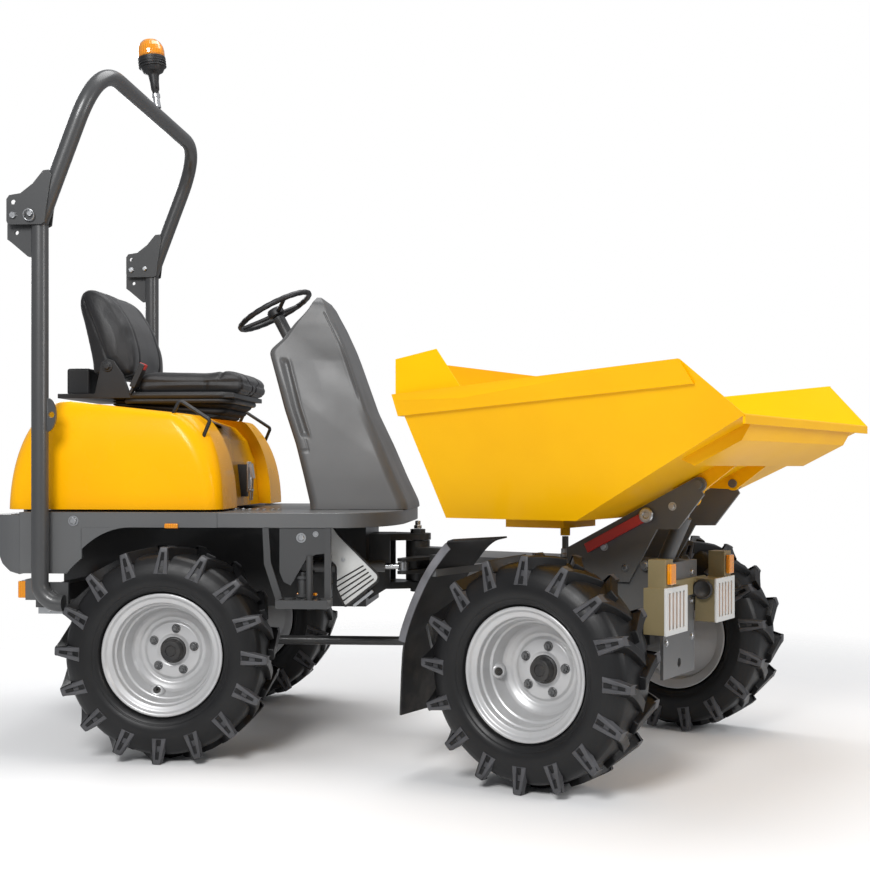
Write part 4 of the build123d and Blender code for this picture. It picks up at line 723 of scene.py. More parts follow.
class DUMPER_OT_tyres(bpy.types.Operator):
    """Four tyres: a smooth carcass with chevron lugs, forked at the shoulder"""

    bl_idname = "dumper.tyres"
    bl_label = "Tyres"

    # half section of the carcass from the bead out to the middle of the tread: across, radius
    half_section = ((0.082, 0.1865), (0.090, 0.214), (0.098, 0.2225), (0.106, 0.2245), (0.1155, 0.237),
                    (0.1160, 0.242), (0.1195, 0.245), (0.1240, 0.258), (0.1250, 0.272), (0.1235, 0.288),
                    (0.1190, 0.305), (0.111, 0.323), (0.099, 0.340), (0.084, 0.350), (0.05, 0.356),
                    (0.0, 0.358))
    bar_foot = 0.335            # radius that the bars are sunk to
    block_foot = 0.288          # radius that the end blocks reach down to

    def execute(self, context):
        """Carcass by turning the section; each lug is a bar over the tread and a forked end block."""
        sizes = context.scene.dumper_sizes
        half = rounded(self.half_section, 0.006, 4)
        section = np.concatenate((half, (half * (-1, 1))[::-1][1:]))
        angle = np.linspace(0, 2 * pi, 180, endpoint=False)[None, :]
        for corner, place, axle_x, hand in WHEELS:
            tyre = Shape(place)
            tyre.grid(about_axle(section[:, 1:2], angle, section[:, 0:1], axle_x, hand), wrap_columns=True)
            shoulders = Shape(place)
            for side in (-1, 1):
                turn = (np.arange(LUG_COUNT) + side / 4) * 2 * pi / LUG_COUNT
                tyre.grids(self.bars(turn, side, sizes, axle_x, hand), wrap_columns=True)
                shoulders.grids(self.ends(turn, side, sizes, axle_x, hand))
            tyre.made("tyre_" + corner + "_look", "wheel_" + corner, "tyre", "tyre_" + corner,
                      bevel=0.003, crease=38)
            # the lug end blocks take a lighter copy of the rubber: painted light for their lit faces
            shoulders.made("lug_ends_" + corner, "wheel_" + corner, "tyre", bevel=0.0015, crease=30,
                           look="rubbed_rubber")
        return {"FINISHED"}

    def bars(self, turn, side, sizes, axle_x, hand):
        """Slanting bars: a tapered section carried from the shoulder to just past the tread's middle.

        A bar's section has four corners: spread gives them as shares of its half width, and top says
        which of them lie on the lugs' radius. Its line bends forwards on its way across.
        """
        step = np.linspace(0, 1, 9)[:, None]
        across = TYRE_HALF - 0.007 - (TYRE_HALF - 0.001) * step ** 0.92
        centre = -0.024 + 0.070 * step ** 1.25
        half_width = sizes.lug_width * (0.52 + 0.10 * step)
        spread = np.array((-1.45, -1.0, 1.0, 1.45))[None, :]
        top = np.array((0.0, 1.0, 1.0, 0.0))[None, :]
        radius = self.bar_foot + (sizes.lug_radius - self.bar_foot) * top
        along = (centre + half_width * spread) / sizes.lug_radius
        ends = about_axle(radius, turn[:, None, None] + along, side * across, axle_x, hand)
        return capped(ends)

    def ends(self, turn, side, sizes, axle_x, hand):
        """Shoulder block of each lug: it widens down the sidewall and has a slot in its middle.

        One row runs across the block for each step down. The columns are the block's edges and the
        slot's, as shares of its half width, and sunk is how far each lies below the face.
        """
        down = np.linspace(0, 1, 13)[:, None]
        spread = np.array((-1.25, -1.0, -0.86, -0.40, -0.30, 0.30, 0.40, 0.86, 1.0, 1.25))[None, :]
        sunk = np.array((0.020, 0.001, 0.0, 0.0, 0.010, 0.010, 0.0, 0.0, 0.001, 0.020))[None, :]
        slot = np.where(np.abs(spread) < 0.35, (down > 0.22) & (down < 0.93), 1)
        radius = sizes.lug_radius - (sizes.lug_radius - self.block_foot) * down
        half_width = 0.0125 + 0.0120 * down
        across = 0.1175 + 0.0085 * np.sqrt(down) - sunk * slot
        along = (-0.024 - 0.002 * down + half_width * spread) / radius
        turn = turn[:, None, None]
        back = about_axle(radius[:1] + 0.0005, turn + along[:1] * 0.9, side * (across[:1] - 0.030), axle_x,
                          hand)
        face = about_axle(radius, turn + along, side * across, axle_x, hand)
        foot = about_axle(radius[-1:] - 0.004, turn + along[-1:], side * (across[-1:] - 0.008), axle_x, hand)
        return np.concatenate((back, face, foot), 1)


class DUMPER_OT_rims(bpy.types.Operator):
    """Four deep pressed-steel rims with hub, nuts, centre cap and valve"""

    bl_idname = "dumper.rims"
    bl_label = "Rims"

    # section from the outer flange inwards and back out over the rear: y, radius
    face = ((0.699, 0.2165), (0.7025, 0.2135), (0.7015, 0.2065), (0.692, 0.199), (0.689, 0.189),
            (0.686, 0.1815), (0.668, 0.179), (0.665, 0.172), (0.652, 0.1695), (0.630, 0.166), (0.626, 0.158),
            (0.598, 0.152), (0.580, 0.148), (0.571, 0.139), (0.563, 0.126), (0.556, 0.118), (0.5545, 0.106),
            (0.562, 0.097), (0.5635, 0.060), (0.560, 0.052), (0.559, 0.0))
    rear_face = ((0.699, 0.2165), (0.690, 0.2125), (0.6845, 0.187), (0.5155, 0.187), (0.5095, 0.2125),
                 (0.5005, 0.2165), (0.498, 0.212), (0.517, 0.180), (0.546, 0.176), (0.548, 0.0))
    nut_circle = 0.078

    def execute(self, context):
        """Turn both faces, then add the hub's parts."""
        for corner, place, axle_x, hand in WHEELS:
            rim = Shape(place)
            for section in (self.face, self.rear_face):
                section = rounded(section, 0.0035, 4)
                angle = np.linspace(0, 2 * pi, 112, endpoint=False)[None, :]
                rim.grid(about_axle(section[:, 1:2], angle, section[:, 0:1] - TYRE_MIDDLE, axle_x, hand),
                         wrap_columns=True)
            rim.made("rim_" + corner + "_look", "wheel_" + corner, "rim_silver", "rim_" + corner, crease=50)
            centre = np.array((axle_x, hand * 0.559, AXLE_HEIGHT))
            out = np.array((0, hand, 0))
            cap = Shape(place)
            cap.turned([(-0.01, 0.0), (-0.01, 0.047), (0.006, 0.047), (0.009, 0.044), (0.010, 0.040),
                        (0.030, 0.0385), (0.036, 0.034), (0.0375, 0.020), (0.033, 0.018), (0.033, 0.0)],
                       centre, out, 48)
            cap.made("hub_cap_" + corner, "wheel_" + corner, "black_plastic", bevel=0.001)
            nuts = Shape(place)
            for turn in radians(8 if place is rear else 12) + np.arange(5) * 2 * pi / 5:
                foot = centre + self.nut_circle * np.array((sin(turn), 0, cos(turn)))
                nuts.turned([(0.001, 0.0), (0.001, 0.0165), (0.005, 0.0165), (0.007, 0.013)], foot, out, 24)
                nuts.turned([(0.004, 0.0), (0.004, 0.0125), (0.016, 0.0125), (0.019, 0.0095), (0.019, 0.0)],
                            foot, out, 6)
                nuts.rod(foot + out * 0.018, foot + out * 0.026, 0.0062, 14, 0.001)
            nuts.made("wheel_nuts_" + corner, "wheel_" + corner, "dark_grey_paint", bevel=0.0008)
            valve = Shape(place)
            turn = radians(-162 if place is rear else -95)
            direction = np.array((sin(turn), 0, cos(turn)))
            foot = np.array((axle_x, hand * 0.604, AXLE_HEIGHT)) + 0.150 * direction
            slope = out * 0.75 - direction * 0.66
            valve.turned([(-0.02, 0.0), (-0.02, 0.013), (0.0125, 0.013), (0.0125, 0.0)], foot, slope, 28)
            valve.rod(foot, foot + slope * 0.034, 0.0042, 12, 0.001)
            valve.made("valve_" + corner, "wheel_" + corner, "black_plastic")
            pocket = Shape(place)
            pocket.turned([(-0.026, 0.0), (-0.026, 0.034), (0.000, 0.026), (0.010, 0.021), (0.012, 0.017),
                           (0.010, 0.013), (-0.01, 0.013)], foot, slope, 36)
            pocket.made("valve_pocket_" + corner, "wheel_" + corner, "rim_silver", crease=60)
        return {"FINISHED"}


# ---------------------------------------------------------------- seat
VOXEL = 0.006               # grid of the padded pieces' remesh
PRESSURE = 4                # from inside, while the cloth is blown up
FRAMES = 20
EVENING_ROUNDS = 24         # how often a point's travel is averaged with its neighbours'


def padded_form(outline, half_width, edge, bulge, columns=40):
    """Pillow over a side outline (x, z): rings drawn in by a quarter circle at both sides, crowned caps."""
    loop = resampled(rounded_loop(outline, 0.035), 150)
    tangent = unit(np.roll(loop, -1, 0) - np.roll(loop, 1, 0))
    inward = np.stack((-tangent[:, 1], tangent[:, 0]), 1)
    middle = loop.mean(0)
    inward *= np.sign(np.sum((middle - loop) * inward))
    across = np.sin(np.linspace(-pi / 2, pi / 2, columns)) * half_width
    late = np.clip((np.abs(across) - half_width + edge) / edge, 0, 1)
    drawn = edge * (1 - np.sqrt(1 - late ** 2))
    body = loop[None] + inward[None] * drawn[:, None, None]
    shrink = np.linspace(0, 1, 9)[:-1, None, None]
    rings = middle + (body[:1] - middle) * shrink
    swell = half_width + bulge * (1 - shrink[:, 0, 0] ** 2)
    section = np.concatenate((rings, body, rings[::-1]))
    place = np.concatenate((-swell, across, swell[::-1]))[:, None] + section[..., 0] * 0
    return np.stack((section[..., 0], place, section[..., 1]), -1)


def inflated(piece, cap):
    """Cloth blown up from inside: voxel remesh, some frames of pressure, each point's travel capped."""
    scene = bpy.context.scene
    voxels = piece.modifiers.new("voxels", "REMESH")
    voxels.mode = "VOXEL"
    voxels.voxel_size = VOXEL
    graph = bpy.context.evaluated_depsgraph_get()
    mesh = bpy.data.meshes.new_from_object(piece.evaluated_get(graph))
    piece.modifiers.clear()
    old = piece.data
    mesh.name = old.name
    mesh.materials.clear()
    mesh.materials.append(old.materials[0])
    piece.data = mesh
    cloth = piece.modifiers.new("cloth", "CLOTH")
    cloth.settings.use_pressure = True
    cloth.settings.uniform_pressure_force = PRESSURE
    cloth.settings.effector_weights.gravity = 0
    before = points_of(mesh)
    for step in range(1, FRAMES + 1):
        scene.frame_set(step)
    graph = bpy.context.evaluated_depsgraph_get()
    result = piece.evaluated_get(graph).to_mesh()
    travel = evened(points_of(result) - before, mesh)
    piece.evaluated_get(graph).to_mesh_clear()
    piece.modifiers.clear()
    scene.frame_set(1)
    reach = np.linalg.norm(travel, axis=1, keepdims=True)
    set_points(mesh, before + travel * np.minimum(1, cap / np.maximum(reach, 1e-9)))
    finer = piece.modifiers.new("finer", "SUBSURF")
    finer.levels = 1
    finer.render_levels = 1
    mesh.shade_smooth()


def evened(travel, mesh):
    """Average each point's travel with its neighbours' along the edges, so that no small wrinkle is left."""
    ends = np.empty(len(mesh.edges) * 2, dtype=np.int32)
    mesh.edges.foreach_get("vertices", ends)
    first, second = ends.reshape(-1, 2).T
    count = np.bincount(ends, minlength=len(travel))[:, None]
    for _ in range(EVENING_ROUNDS):
        total = np.stack([np.bincount(first, travel[second, axis], len(travel))
                          + np.bincount(second, travel[first, axis], len(travel)) for axis in range(3)], -1)
        travel = (travel + total) / (count + 1)
    return travel


def points_of(mesh, value="co"):
    """The mesh's points, or their normals, as an array."""
    flat = np.empty(len(mesh.vertices) * 3)
    mesh.vertices.foreach_get(value, flat)
    return flat.reshape(-1, 3)


def set_points(mesh, points):
    """Write the points back."""
    mesh.vertices.foreach_set("co", points.ravel())
    mesh.update()


def stitched(piece, seams, depth, width):
    """Press seams into a soft piece: each seam gives every point's distance from its line."""
    mesh = piece.data
    points = points_of(mesh)
    normals = points_of(mesh, "normal")
    local = points - PIVOT
    for seam in seams:
        points = points - normals * (depth * np.exp(-(seam(local, normals) / width) ** 2))[:, None]
    set_points(mesh, points)


def far(value, limit, ramp=0.2):
    """A distance that grows quickly past a limit, so that a seam fades out there."""
    return 0.06 * np.clip((value - limit) / ramp, 0, 1)


class DUMPER_OT_seat(bpy.types.Operator):
    """Padded cushion and backrest with their seams, bellows, edge roll and belt buckle"""

    bl_idname = "dumper.seat"
    bl_label = "Seat"

    # side outlines: x, z
    back_outline = ((-1.258, 1.393), (-1.262, 1.44), (-1.318, 1.688), (-1.303, 1.732), (-1.262, 1.741),
                    (-1.200, 1.706), (-1.130, 1.600), (-1.098, 1.500), (-1.094, 1.420), (-1.100, 1.393))
    cushion_outline = ((-1.083, 1.3255), (-1.083, 1.396), (-1.02, 1.405), (-0.80, 1.400), (-0.72, 1.410),
                       (-0.668, 1.400), (-0.651, 1.362), (-0.664, 1.3255))

    travel_cap = 0.006
    seam_width = 0.0065

    def execute(self, context):
        """Make the soft pieces, then what is round them."""
        cushion = Shape(rear).grid(padded_form(self.cushion_outline, 0.208, 0.022, 0.006), wrap_columns=True)
        piece = cushion.made("seat_cushion_look", "hood", "black_vinyl", "seat_cushion", crease=80)
        inflated(piece, self.travel_cap)
        stitched(piece, (self.front_seam, self.cushion_side_seams, self.welt), 0.0050, self.seam_width)
        back = Shape(rear).grid(padded_form(self.back_outline, 0.206, 0.024, 0.010), wrap_columns=True)
        piece = back.made("seat_back_look", "hood", "black_vinyl", "seat_back", crease=80)
        inflated(piece, self.travel_cap)
        stitched(piece, (self.back_side_seams, self.bolster_seam), 0.0055, self.seam_width)
        self.bellows()
        self.fittings()
        return {"FINISHED"}

    def front_seam(self, at, normal):
        """Seam across the cushion's top, behind its front roll."""
        return at[:, 0] + 0.745 + far(-normal[:, 2], -0.3)

    def cushion_side_seams(self, at, normal):
        """Two seams along the cushion's top, behind the front seam."""
        return np.abs(at[:, 1]) - 0.150 + far(-normal[:, 2], -0.3) + far(at[:, 0], -0.745, 0.01)

    def welt(self, at, normal):
        """Seam round the cushion's sides."""
        return at[:, 2] - 1.368 + far(np.abs(normal[:, 2]), 0.6)

    def back_side_seams(self, at, normal):
        """Two seams up the front of the backrest."""
        return np.abs(at[:, 1]) - 0.128 + far(-normal[:, 0], -0.2)

    def bolster_seam(self, at, normal):
        """Slanting seam up each side of the backrest."""
        return at[:, 0] + 0.42 * (at[:, 2] - 1.40) + 1.168 + far(-np.abs(normal[:, 1]), -0.5)

    def bellows(self):
        """Rubber skirt: a rounded plan that steps in and out over three folds, with its foot on the hood."""
        plan = resampled(rounded_loop(((-1, -1), (1, -1), (1, 1), (-1, 1)), 0.22), 160)[None]
        rise = np.linspace(0, 1, 41)[:, None]
        fold = 0.011 * np.abs(np.cos(rise * 3 * pi)) ** 0.7 - 0.011
        front_end = -0.780 + 0.086 * rise ** 0.6
        middle = (front_end - 1.19) / 2
        x = middle + plan[..., 0] * ((front_end + 1.19) / 2 + fold)
        y = plan[..., 1] * (0.190 + fold)
        foot = 1.2405 - 0.1104 * (x + 0.884)
        z = foot + rise * (1.306 - foot)
        folds = np.stack((x, y, z), -1)
        lid = folds[-1:]
        skirt = Shape(rear).grid(folds, wrap_columns=True)
        skirt.grid(np.concatenate((lid, lid.mean(1, keepdims=True) + lid * 0)), wrap_columns=True)
        skirt.made("seat_bellows_look", "hood", "bellows_rubber", "seat_bellows", crease=70)

    def fittings(self):
        """Roll of rubber round the pan's edge, reclining pivots and the belt's buckle."""
        edge = rounded_loop(((-1.12, -0.228), (-0.70, -0.228), (-0.70, 0.228), (-1.12, 0.228)), 0.06, 8)
        roll = Shape(rear)
        path = np.concatenate((edge, edge[:, :1] * 0 + 1.3165), 1)
        roll.tube(path, 0.0125, 14, (0, 0, 1), closed=True)
        roll.tube(path * (1, 0.965, 1) - (0.006, 0, 0.021), 0.010, 12, (0, 0, 1), closed=True)
        roll.made("seat_edge_roll", "hood", "black_vinyl", crease=60)
        pivots = Shape(rear)
        for hand in (-1, 1):
            pivots.rod((-1.185, hand * 0.231, 1.428), (-1.185, hand * 0.238, 1.428), 0.020, 32, 0.002)
            pivots.turned([(0, 0), (0, 0.0125), (0.008, 0.0125), (0.010, 0.010), (0.010, 0)],
                          (-1.185, hand * 0.237, 1.428), (0, hand, 0), 6)
        pivots.made("seat_pivots", "hood", "black_plastic", bevel=0.001)
        buckle = Shape(rear)
        lean = unit(np.array((0.42, 0.0, 0.9)))
        buckle.box((-1.062, -0.232, 1.392), (0.10, 0.022, 0.044), lean, (0, 1, 0))
        buckle.box((-1.080, -0.229, 1.352), (0.07, 0.010, 0.030), lean, (0, 1, 0))
        buckle.made("belt_buckle", "hood", "black_plastic", bevel=0.004, segments=3)
        button = Shape(rear)
        button.box(np.array((-1.045, -0.2335, 1.428)), (0.022, 0.024, 0.030), lean, (0, 1, 0))
        button.made("belt_button", "hood", "red_paint", bevel=0.002)


# ---------------------------------------------------------------- steering wheel and beacon
class DUMPER_OT_controls(bpy.types.Operator):
    """Steering wheel: round rim with finger grips, three spokes and a boss"""

    bl_idname = "dumper.controls"
    bl_label = "Steering wheel"

    rim_radius = 0.153
    grip_radius = 0.0108

    def execute(self, context):
        """Build the wheel in its own tilted axes."""
        joint = JOINTS["steering_wheel_turn"]
        centre = np.array(joint["pos_m"]) - PIVOT
        axis = unit(np.array(joint["axis"]))
        ahead = unit(np.cross((0, 1, 0), axis))
        left = np.cross(axis, ahead)
        wheel = Shape(rear)
        angle = np.linspace(0, 2 * pi, 144, endpoint=False)
        rim = centre + self.rim_radius * (np.cos(angle)[:, None] * ahead + np.sin(angle)[:, None] * left)
        grip = self.grip_radius + 0.0005 * np.cos(angle * 24)
        wheel.tube(rim, grip, 20, axis, closed=True)
        # out from the boss along the spoke, and up the wheel's axis
        spoke = np.array(((0.020, -0.012), (0.06, -0.010), (0.11, -0.004), (0.150, 0.0)))
        for turn in (pi / 2, pi / 2 + 2 * pi / 3, pi / 2 - 2 * pi / 3):
            direction = cos(turn) * left - sin(turn) * ahead
            path = centre + spoke @ np.stack((direction, axis))
            wheel.tube(rounded(path, 0.02), 0.0082, 12, axis)
        wheel.turned([(-0.026, 0.0), (-0.026, 0.026), (-0.020, 0.034), (0.0, 0.034), (0.009, 0.028),
                      (0.012, 0.0)], centre, axis, 40)
        wheel.made("steering_wheel_look", "steering_wheel", "black_plastic", "steering_wheel", bevel=0.001)
        return {"FINISHED"}


class DUMPER_OT_beacon(bpy.types.Operator):
    """Beacon: ribbed amber dome on a black cup, tapered stalk, wing screws and a plated ring"""

    bl_idname = "dumper.beacon"
    bl_label = "Beacon"

    foot = (-1.062, 0.0, 2.499)
    top = (-1.094, 0.0, 2.772)

    def execute(self, context):
        """Turn every part about the leaning line from foot to top."""
        foot = np.array(self.foot)
        up = unit(np.array(self.top) - foot)
        lens = Shape(rear)
        lens.turned([(0.200, 0), (0.200, 0.050), (0.206, 0.0535), (0.222, 0.0535), (0.240, 0.0505),
                     (0.256, 0.042), (0.268, 0.029), (0.274, 0.012), (0.275, 0)], foot, up, 28)
        lens.made("beacon_lens_look", "rops", "amber_lens", "beacon_lens", crease=9)
        cup = Shape(rear)
        cup.turned([(0.018, 0.0), (0.018, 0.012), (0.062, 0.013), (0.068, 0.0165), (0.100, 0.018),
                    (0.128, 0.022), (0.136, 0.030), (0.140, 0.040), (0.152, 0.0465), (0.170, 0.0515),
                    (0.188, 0.0545), (0.198, 0.0545), (0.199, 0.050), (0.201, 0.050), (0.201, 0.0)],
                   foot, up, 56)
        for level in np.linspace(0.158, 0.188, 4):
            cup.turned([(level, 0.048), (level + 0.001, 0.0555), (level + 0.004, 0.0555),
                        (level + 0.005, 0.048)], foot, up, 56)
        across = np.array((0.55, -0.84, 0.0))
        middle = foot + up * 0.074
        cup.rod(middle - across * 0.030, middle + across * 0.030, 0.0045, 14)
        for hand in (-1, 1):
            cup.box(middle + across * hand * 0.033 + up * 0.006, (0.008, 0.006, 0.024), across, up)
        cup.made("beacon_base_look", "rops", "black_plastic", "beacon_base", bevel=0.001)
        ring = Shape(rear)
        ring.turned([(-0.006, 0.0), (-0.006, 0.0155), (0.022, 0.0135), (0.034, 0.0135), (0.036, 0.0165),
                     (0.050, 0.0165), (0.052, 0.0135), (0.056, 0.0)], foot, up, 32)
        ring.made("beacon_ring", "rops", "bright_steel")
        return {"FINISHED"}


# ---------------------------------------------------------------- roll bar
class DUMPER_OT_roll_bar(bpy.types.Operator):
    """Folding hoop: bent tube between two cheeks on each post, hinge bolts, ring pins and post plugs"""

    bl_idname = "dumper.roll_bar"
    bl_label = "Roll bar"

    # outline of the cheeks and their holes: x, z
    cheek = ((-1.390, 1.899), (-1.396, 1.912), (-1.396, 1.990), (-1.386, 2.004), (-1.345, 2.010),
             (-1.300, 2.044), (-1.262, 2.090), (-1.240, 2.092), (-1.232, 2.074), (-1.252, 1.955),
             (-1.258, 1.905), (-1.270, 1.899))
    holes = ((-1.371, 1.979), (-1.371, 1.932), (-1.309, 1.937))
    cheek_offsets = (-0.038, 0.032)
    cheek_thickness = 0.006
    post_x = -1.288
    post_y = 0.638
    hoop_foot = (post_x, 0, 1.916)
    hoop_height = 0.596
    hoop_lean = radians(21)
    bend = 0.215
    tube_radius = 0.030

    def execute(self, context):
        """Hoop as a tube along a bent path, cheeks as plates with holes, pins as turned parts."""
        along = np.array((sin(self.hoop_lean), 0, cos(self.hoop_lean)))
        hoop = Shape(rear)
        foot = np.array(self.hoop_foot)
        side = np.array((0, self.post_y, 0))
        top = foot + along * self.hoop_height
        path = rounded((foot - side, top - side, top + side, foot + side), self.bend, 16)
        hoop.tube(path, self.tube_radius, 28, np.cross(along, (0, 1, 0)))
        for hand in (-1, 1):
            for offset in self.cheek_offsets:
                level = hand * self.post_y + offset
                hoop.holed(self.cheek, self.holes, 0.0085, level, level + self.cheek_thickness)
        hoop.made("rops_hoop_look", "rops", "dark_paint", "rops_hoop", bevel=0.0012, crease=40)
        pins = Shape(rear)
        ring_angle = np.linspace(0, 2 * pi, 40, endpoint=False)[:, None]
        for hand in (-1, 1):
            out = np.array((0, hand, 0))
            for at, size in (((-1.371, 1.932), 0.0125), ((-1.309, 1.937), 0.010)):
                place = np.array((at[0], hand * self.post_y, at[1]))
                pins.rod(place - out * 0.050, place + out * 0.046, 0.0078, 20, 0.001)
                for way in (-1, 1):
                    pins.turned([(0.0385, 0), (0.0385, size), (0.046, size), (0.048, size * 0.8), (0.048, 0)],
                                place, out * way, 6 if size > 0.011 else 24)
            centre = np.array((-1.309, hand * 0.690, 1.930))
            hanging = np.array((0, 0.25 * hand, 1))
            ring = centre + 0.019 * (np.cos(ring_angle) * (1, 0, 0) + np.sin(ring_angle) * hanging)
            pins.tube(ring, 0.0022, 8, (0, 1, 0.01), closed=True)
            pins.rod(centre - out * 0.01 + (0, 0, 0.019), centre + out * 0.004 + (0, 0, 0.019), 0.004, 12)
        pins.made("rops_pins_look", "rops", "bright_steel", "rops_pins", crease=40)
        self.post_parts()
        return {"FINISHED"}

    def post_parts(self):
        """Plugs in the posts' tops and plated feet with three bolts each at the bends."""
        caps = Shape(rear)
        plated = Shape(rear)
        for hand in (-1, 1):
            top = np.array((self.post_x, hand * self.post_y, 1.898))
            caps.rod(top, top + (0, 0, 0.008), 0.0315, 32, 0.003)
            plated.box((-1.262, hand * 0.603, 0.548), (0.090, 0.010, 0.074))
            for x, z in ((-1.290, 0.570), (-1.236, 0.570), (-1.263, 0.528)):
                plated.turned([(0, 0), (0, 0.011), (0.007, 0.011), (0.009, 0.008), (0.009, 0)],
                              (x, hand * 0.608, z), (0, hand, 0), 6)
        caps.made("post_plugs", "rear", "black_plastic")
        plated.made("post_feet", "rear", "bright_steel", bevel=0.0015)


# ---------------------------------------------------------------- console
class DUMPER_OT_console(bpy.types.Operator):
    """Cowl between driver and skip: a tapering moulded shell with a side groove, a seam and a twist"""

    bl_idname = "dumper.console"
    bl_label = "Console"

    # height, rear x, front x, half width
    sections = np.array((
        (0.877, -0.392, -0.014, 0.262), (0.900, -0.393, -0.017, 0.260), (1.000, -0.418, -0.064, 0.250),
        (1.126, -0.452, -0.117, 0.236), (1.260, -0.498, -0.180, 0.222), (1.393, -0.536, -0.226, 0.208),
        (1.468, -0.558, -0.252, 0.200), (1.488, -0.562, -0.260, 0.198), (1.505, -0.548, -0.266, 0.196),
        (1.534, -0.513, -0.279, 0.192), (1.598, -0.464, -0.308, 0.182), (1.650, -0.416, -0.336, 0.170),
        (1.682, -0.397, -0.352, 0.158), (1.696, -0.388, -0.362, 0.140), (1.701, -0.380, -0.370, 0.120)))

    def execute(self, context):
        """Carry one rounded outline up through the sections and press the surface detail into its sides."""
        outline = np.array(((-1, -1), (1, -1), (1, 1), (-1, 1)), float)
        corner = rounded_loop(outline, 0.20, 8)
        corner[:, 1] *= np.where(corner[:, 0] > 0.2, 1 - 0.10 * (corner[:, 0] - 0.2) ** 2, 1)
        plan = resampled(corner, 300)
        stretch = np.concatenate((np.linspace(0.877, 1.46, 90), np.linspace(1.465, 1.701, 60)))
        rear_x, front_x, half = (smoothed(stretch, self.sections[:, 0], self.sections[:, column])
                                 for column in (1, 2, 3))
        x = (rear_x + front_x)[:, None] / 2 + plan[None, :, 0] * (front_x - rear_x)[:, None] / 2
        y = plan[None, :, 1] * half[:, None]
        z = stretch[:, None] + x * 0
        flank = np.clip((np.abs(plan[None, :, 1]) - 0.90) / 0.08, 0, 1)
        y = y - np.sign(y) * flank * self.relief(context, x, z, rear_x[:, None], front_x[:, None])
        cowl = Shape(rear).grid(capped(np.stack((x, y, z), -1)), wrap_columns=True)
        cowl.made("console_look", "rear", "console_plastic", "console", crease=60)
        foot = Shape(rear)
        seal = ((-0.388, -0.258), (-0.018, -0.258), (-0.018, 0.258), (-0.388, 0.258))
        foot.slab(resampled(rounded_loop(seal, 0.05), 120), 0.8745, 0.8785)
        foot.made("console_seal", "rear", "black_plastic")
        return {"FINISHED"}

    def relief(self, context, x, z, rear_x, front_x):
        """Depth pressed into the flank: groove by the rear edge, its ridge, a stepped seam and the twist.

        Each line's depth falls off by a bell curve of the distance from it, and the twist rises by a
        smooth step across a slanting band.
        """
        depth = context.scene.dumper_sizes.groove
        behind = x - rear_x
        run = np.clip((z - 1.150) / 0.02, 0, 1) * np.clip((1.462 - z) / 0.02, 0, 1)
        groove = run * depth * np.exp(-((behind - 0.054) / 0.0125) ** 4)
        ridge = -run * 0.0026 * np.exp(-((behind - 0.074) / 0.0045) ** 2)
        seam_at = np.where(z > 1.10, 0.050, 0.012)
        seam = 0.0028 * np.exp(-((behind - seam_at) / 0.0022) ** 2) * (z < 1.152)
        step = 0.0028 * np.exp(-((z - 1.10) / 0.0025) ** 2) * (behind > 0.012) * (behind < 0.050)
        edge = 0.0025 * np.exp(-((front_x - x - 0.020) / 0.0025) ** 2) * (z > 1.30) * (z < 1.64)
        above = (x + 0.36) * 0.60 + (z - 1.36) * 0.80
        swell = np.clip(above / 0.20 + 0.5, 0, 1)
        twist = 0.024 * swell ** 2 * (3 - 2 * swell) * np.clip((1.70 - z) / 0.25, 0, 1)
        return groove + ridge + seam + step + edge + twist


def smoothed(at, places, values):
    """Values along a table, eased by averaging the straight interpolation over a short window."""
    window = np.linspace(-0.012, 0.012, 9)[:, None]
    return np.interp(at[None] + window, places, values).mean(0)


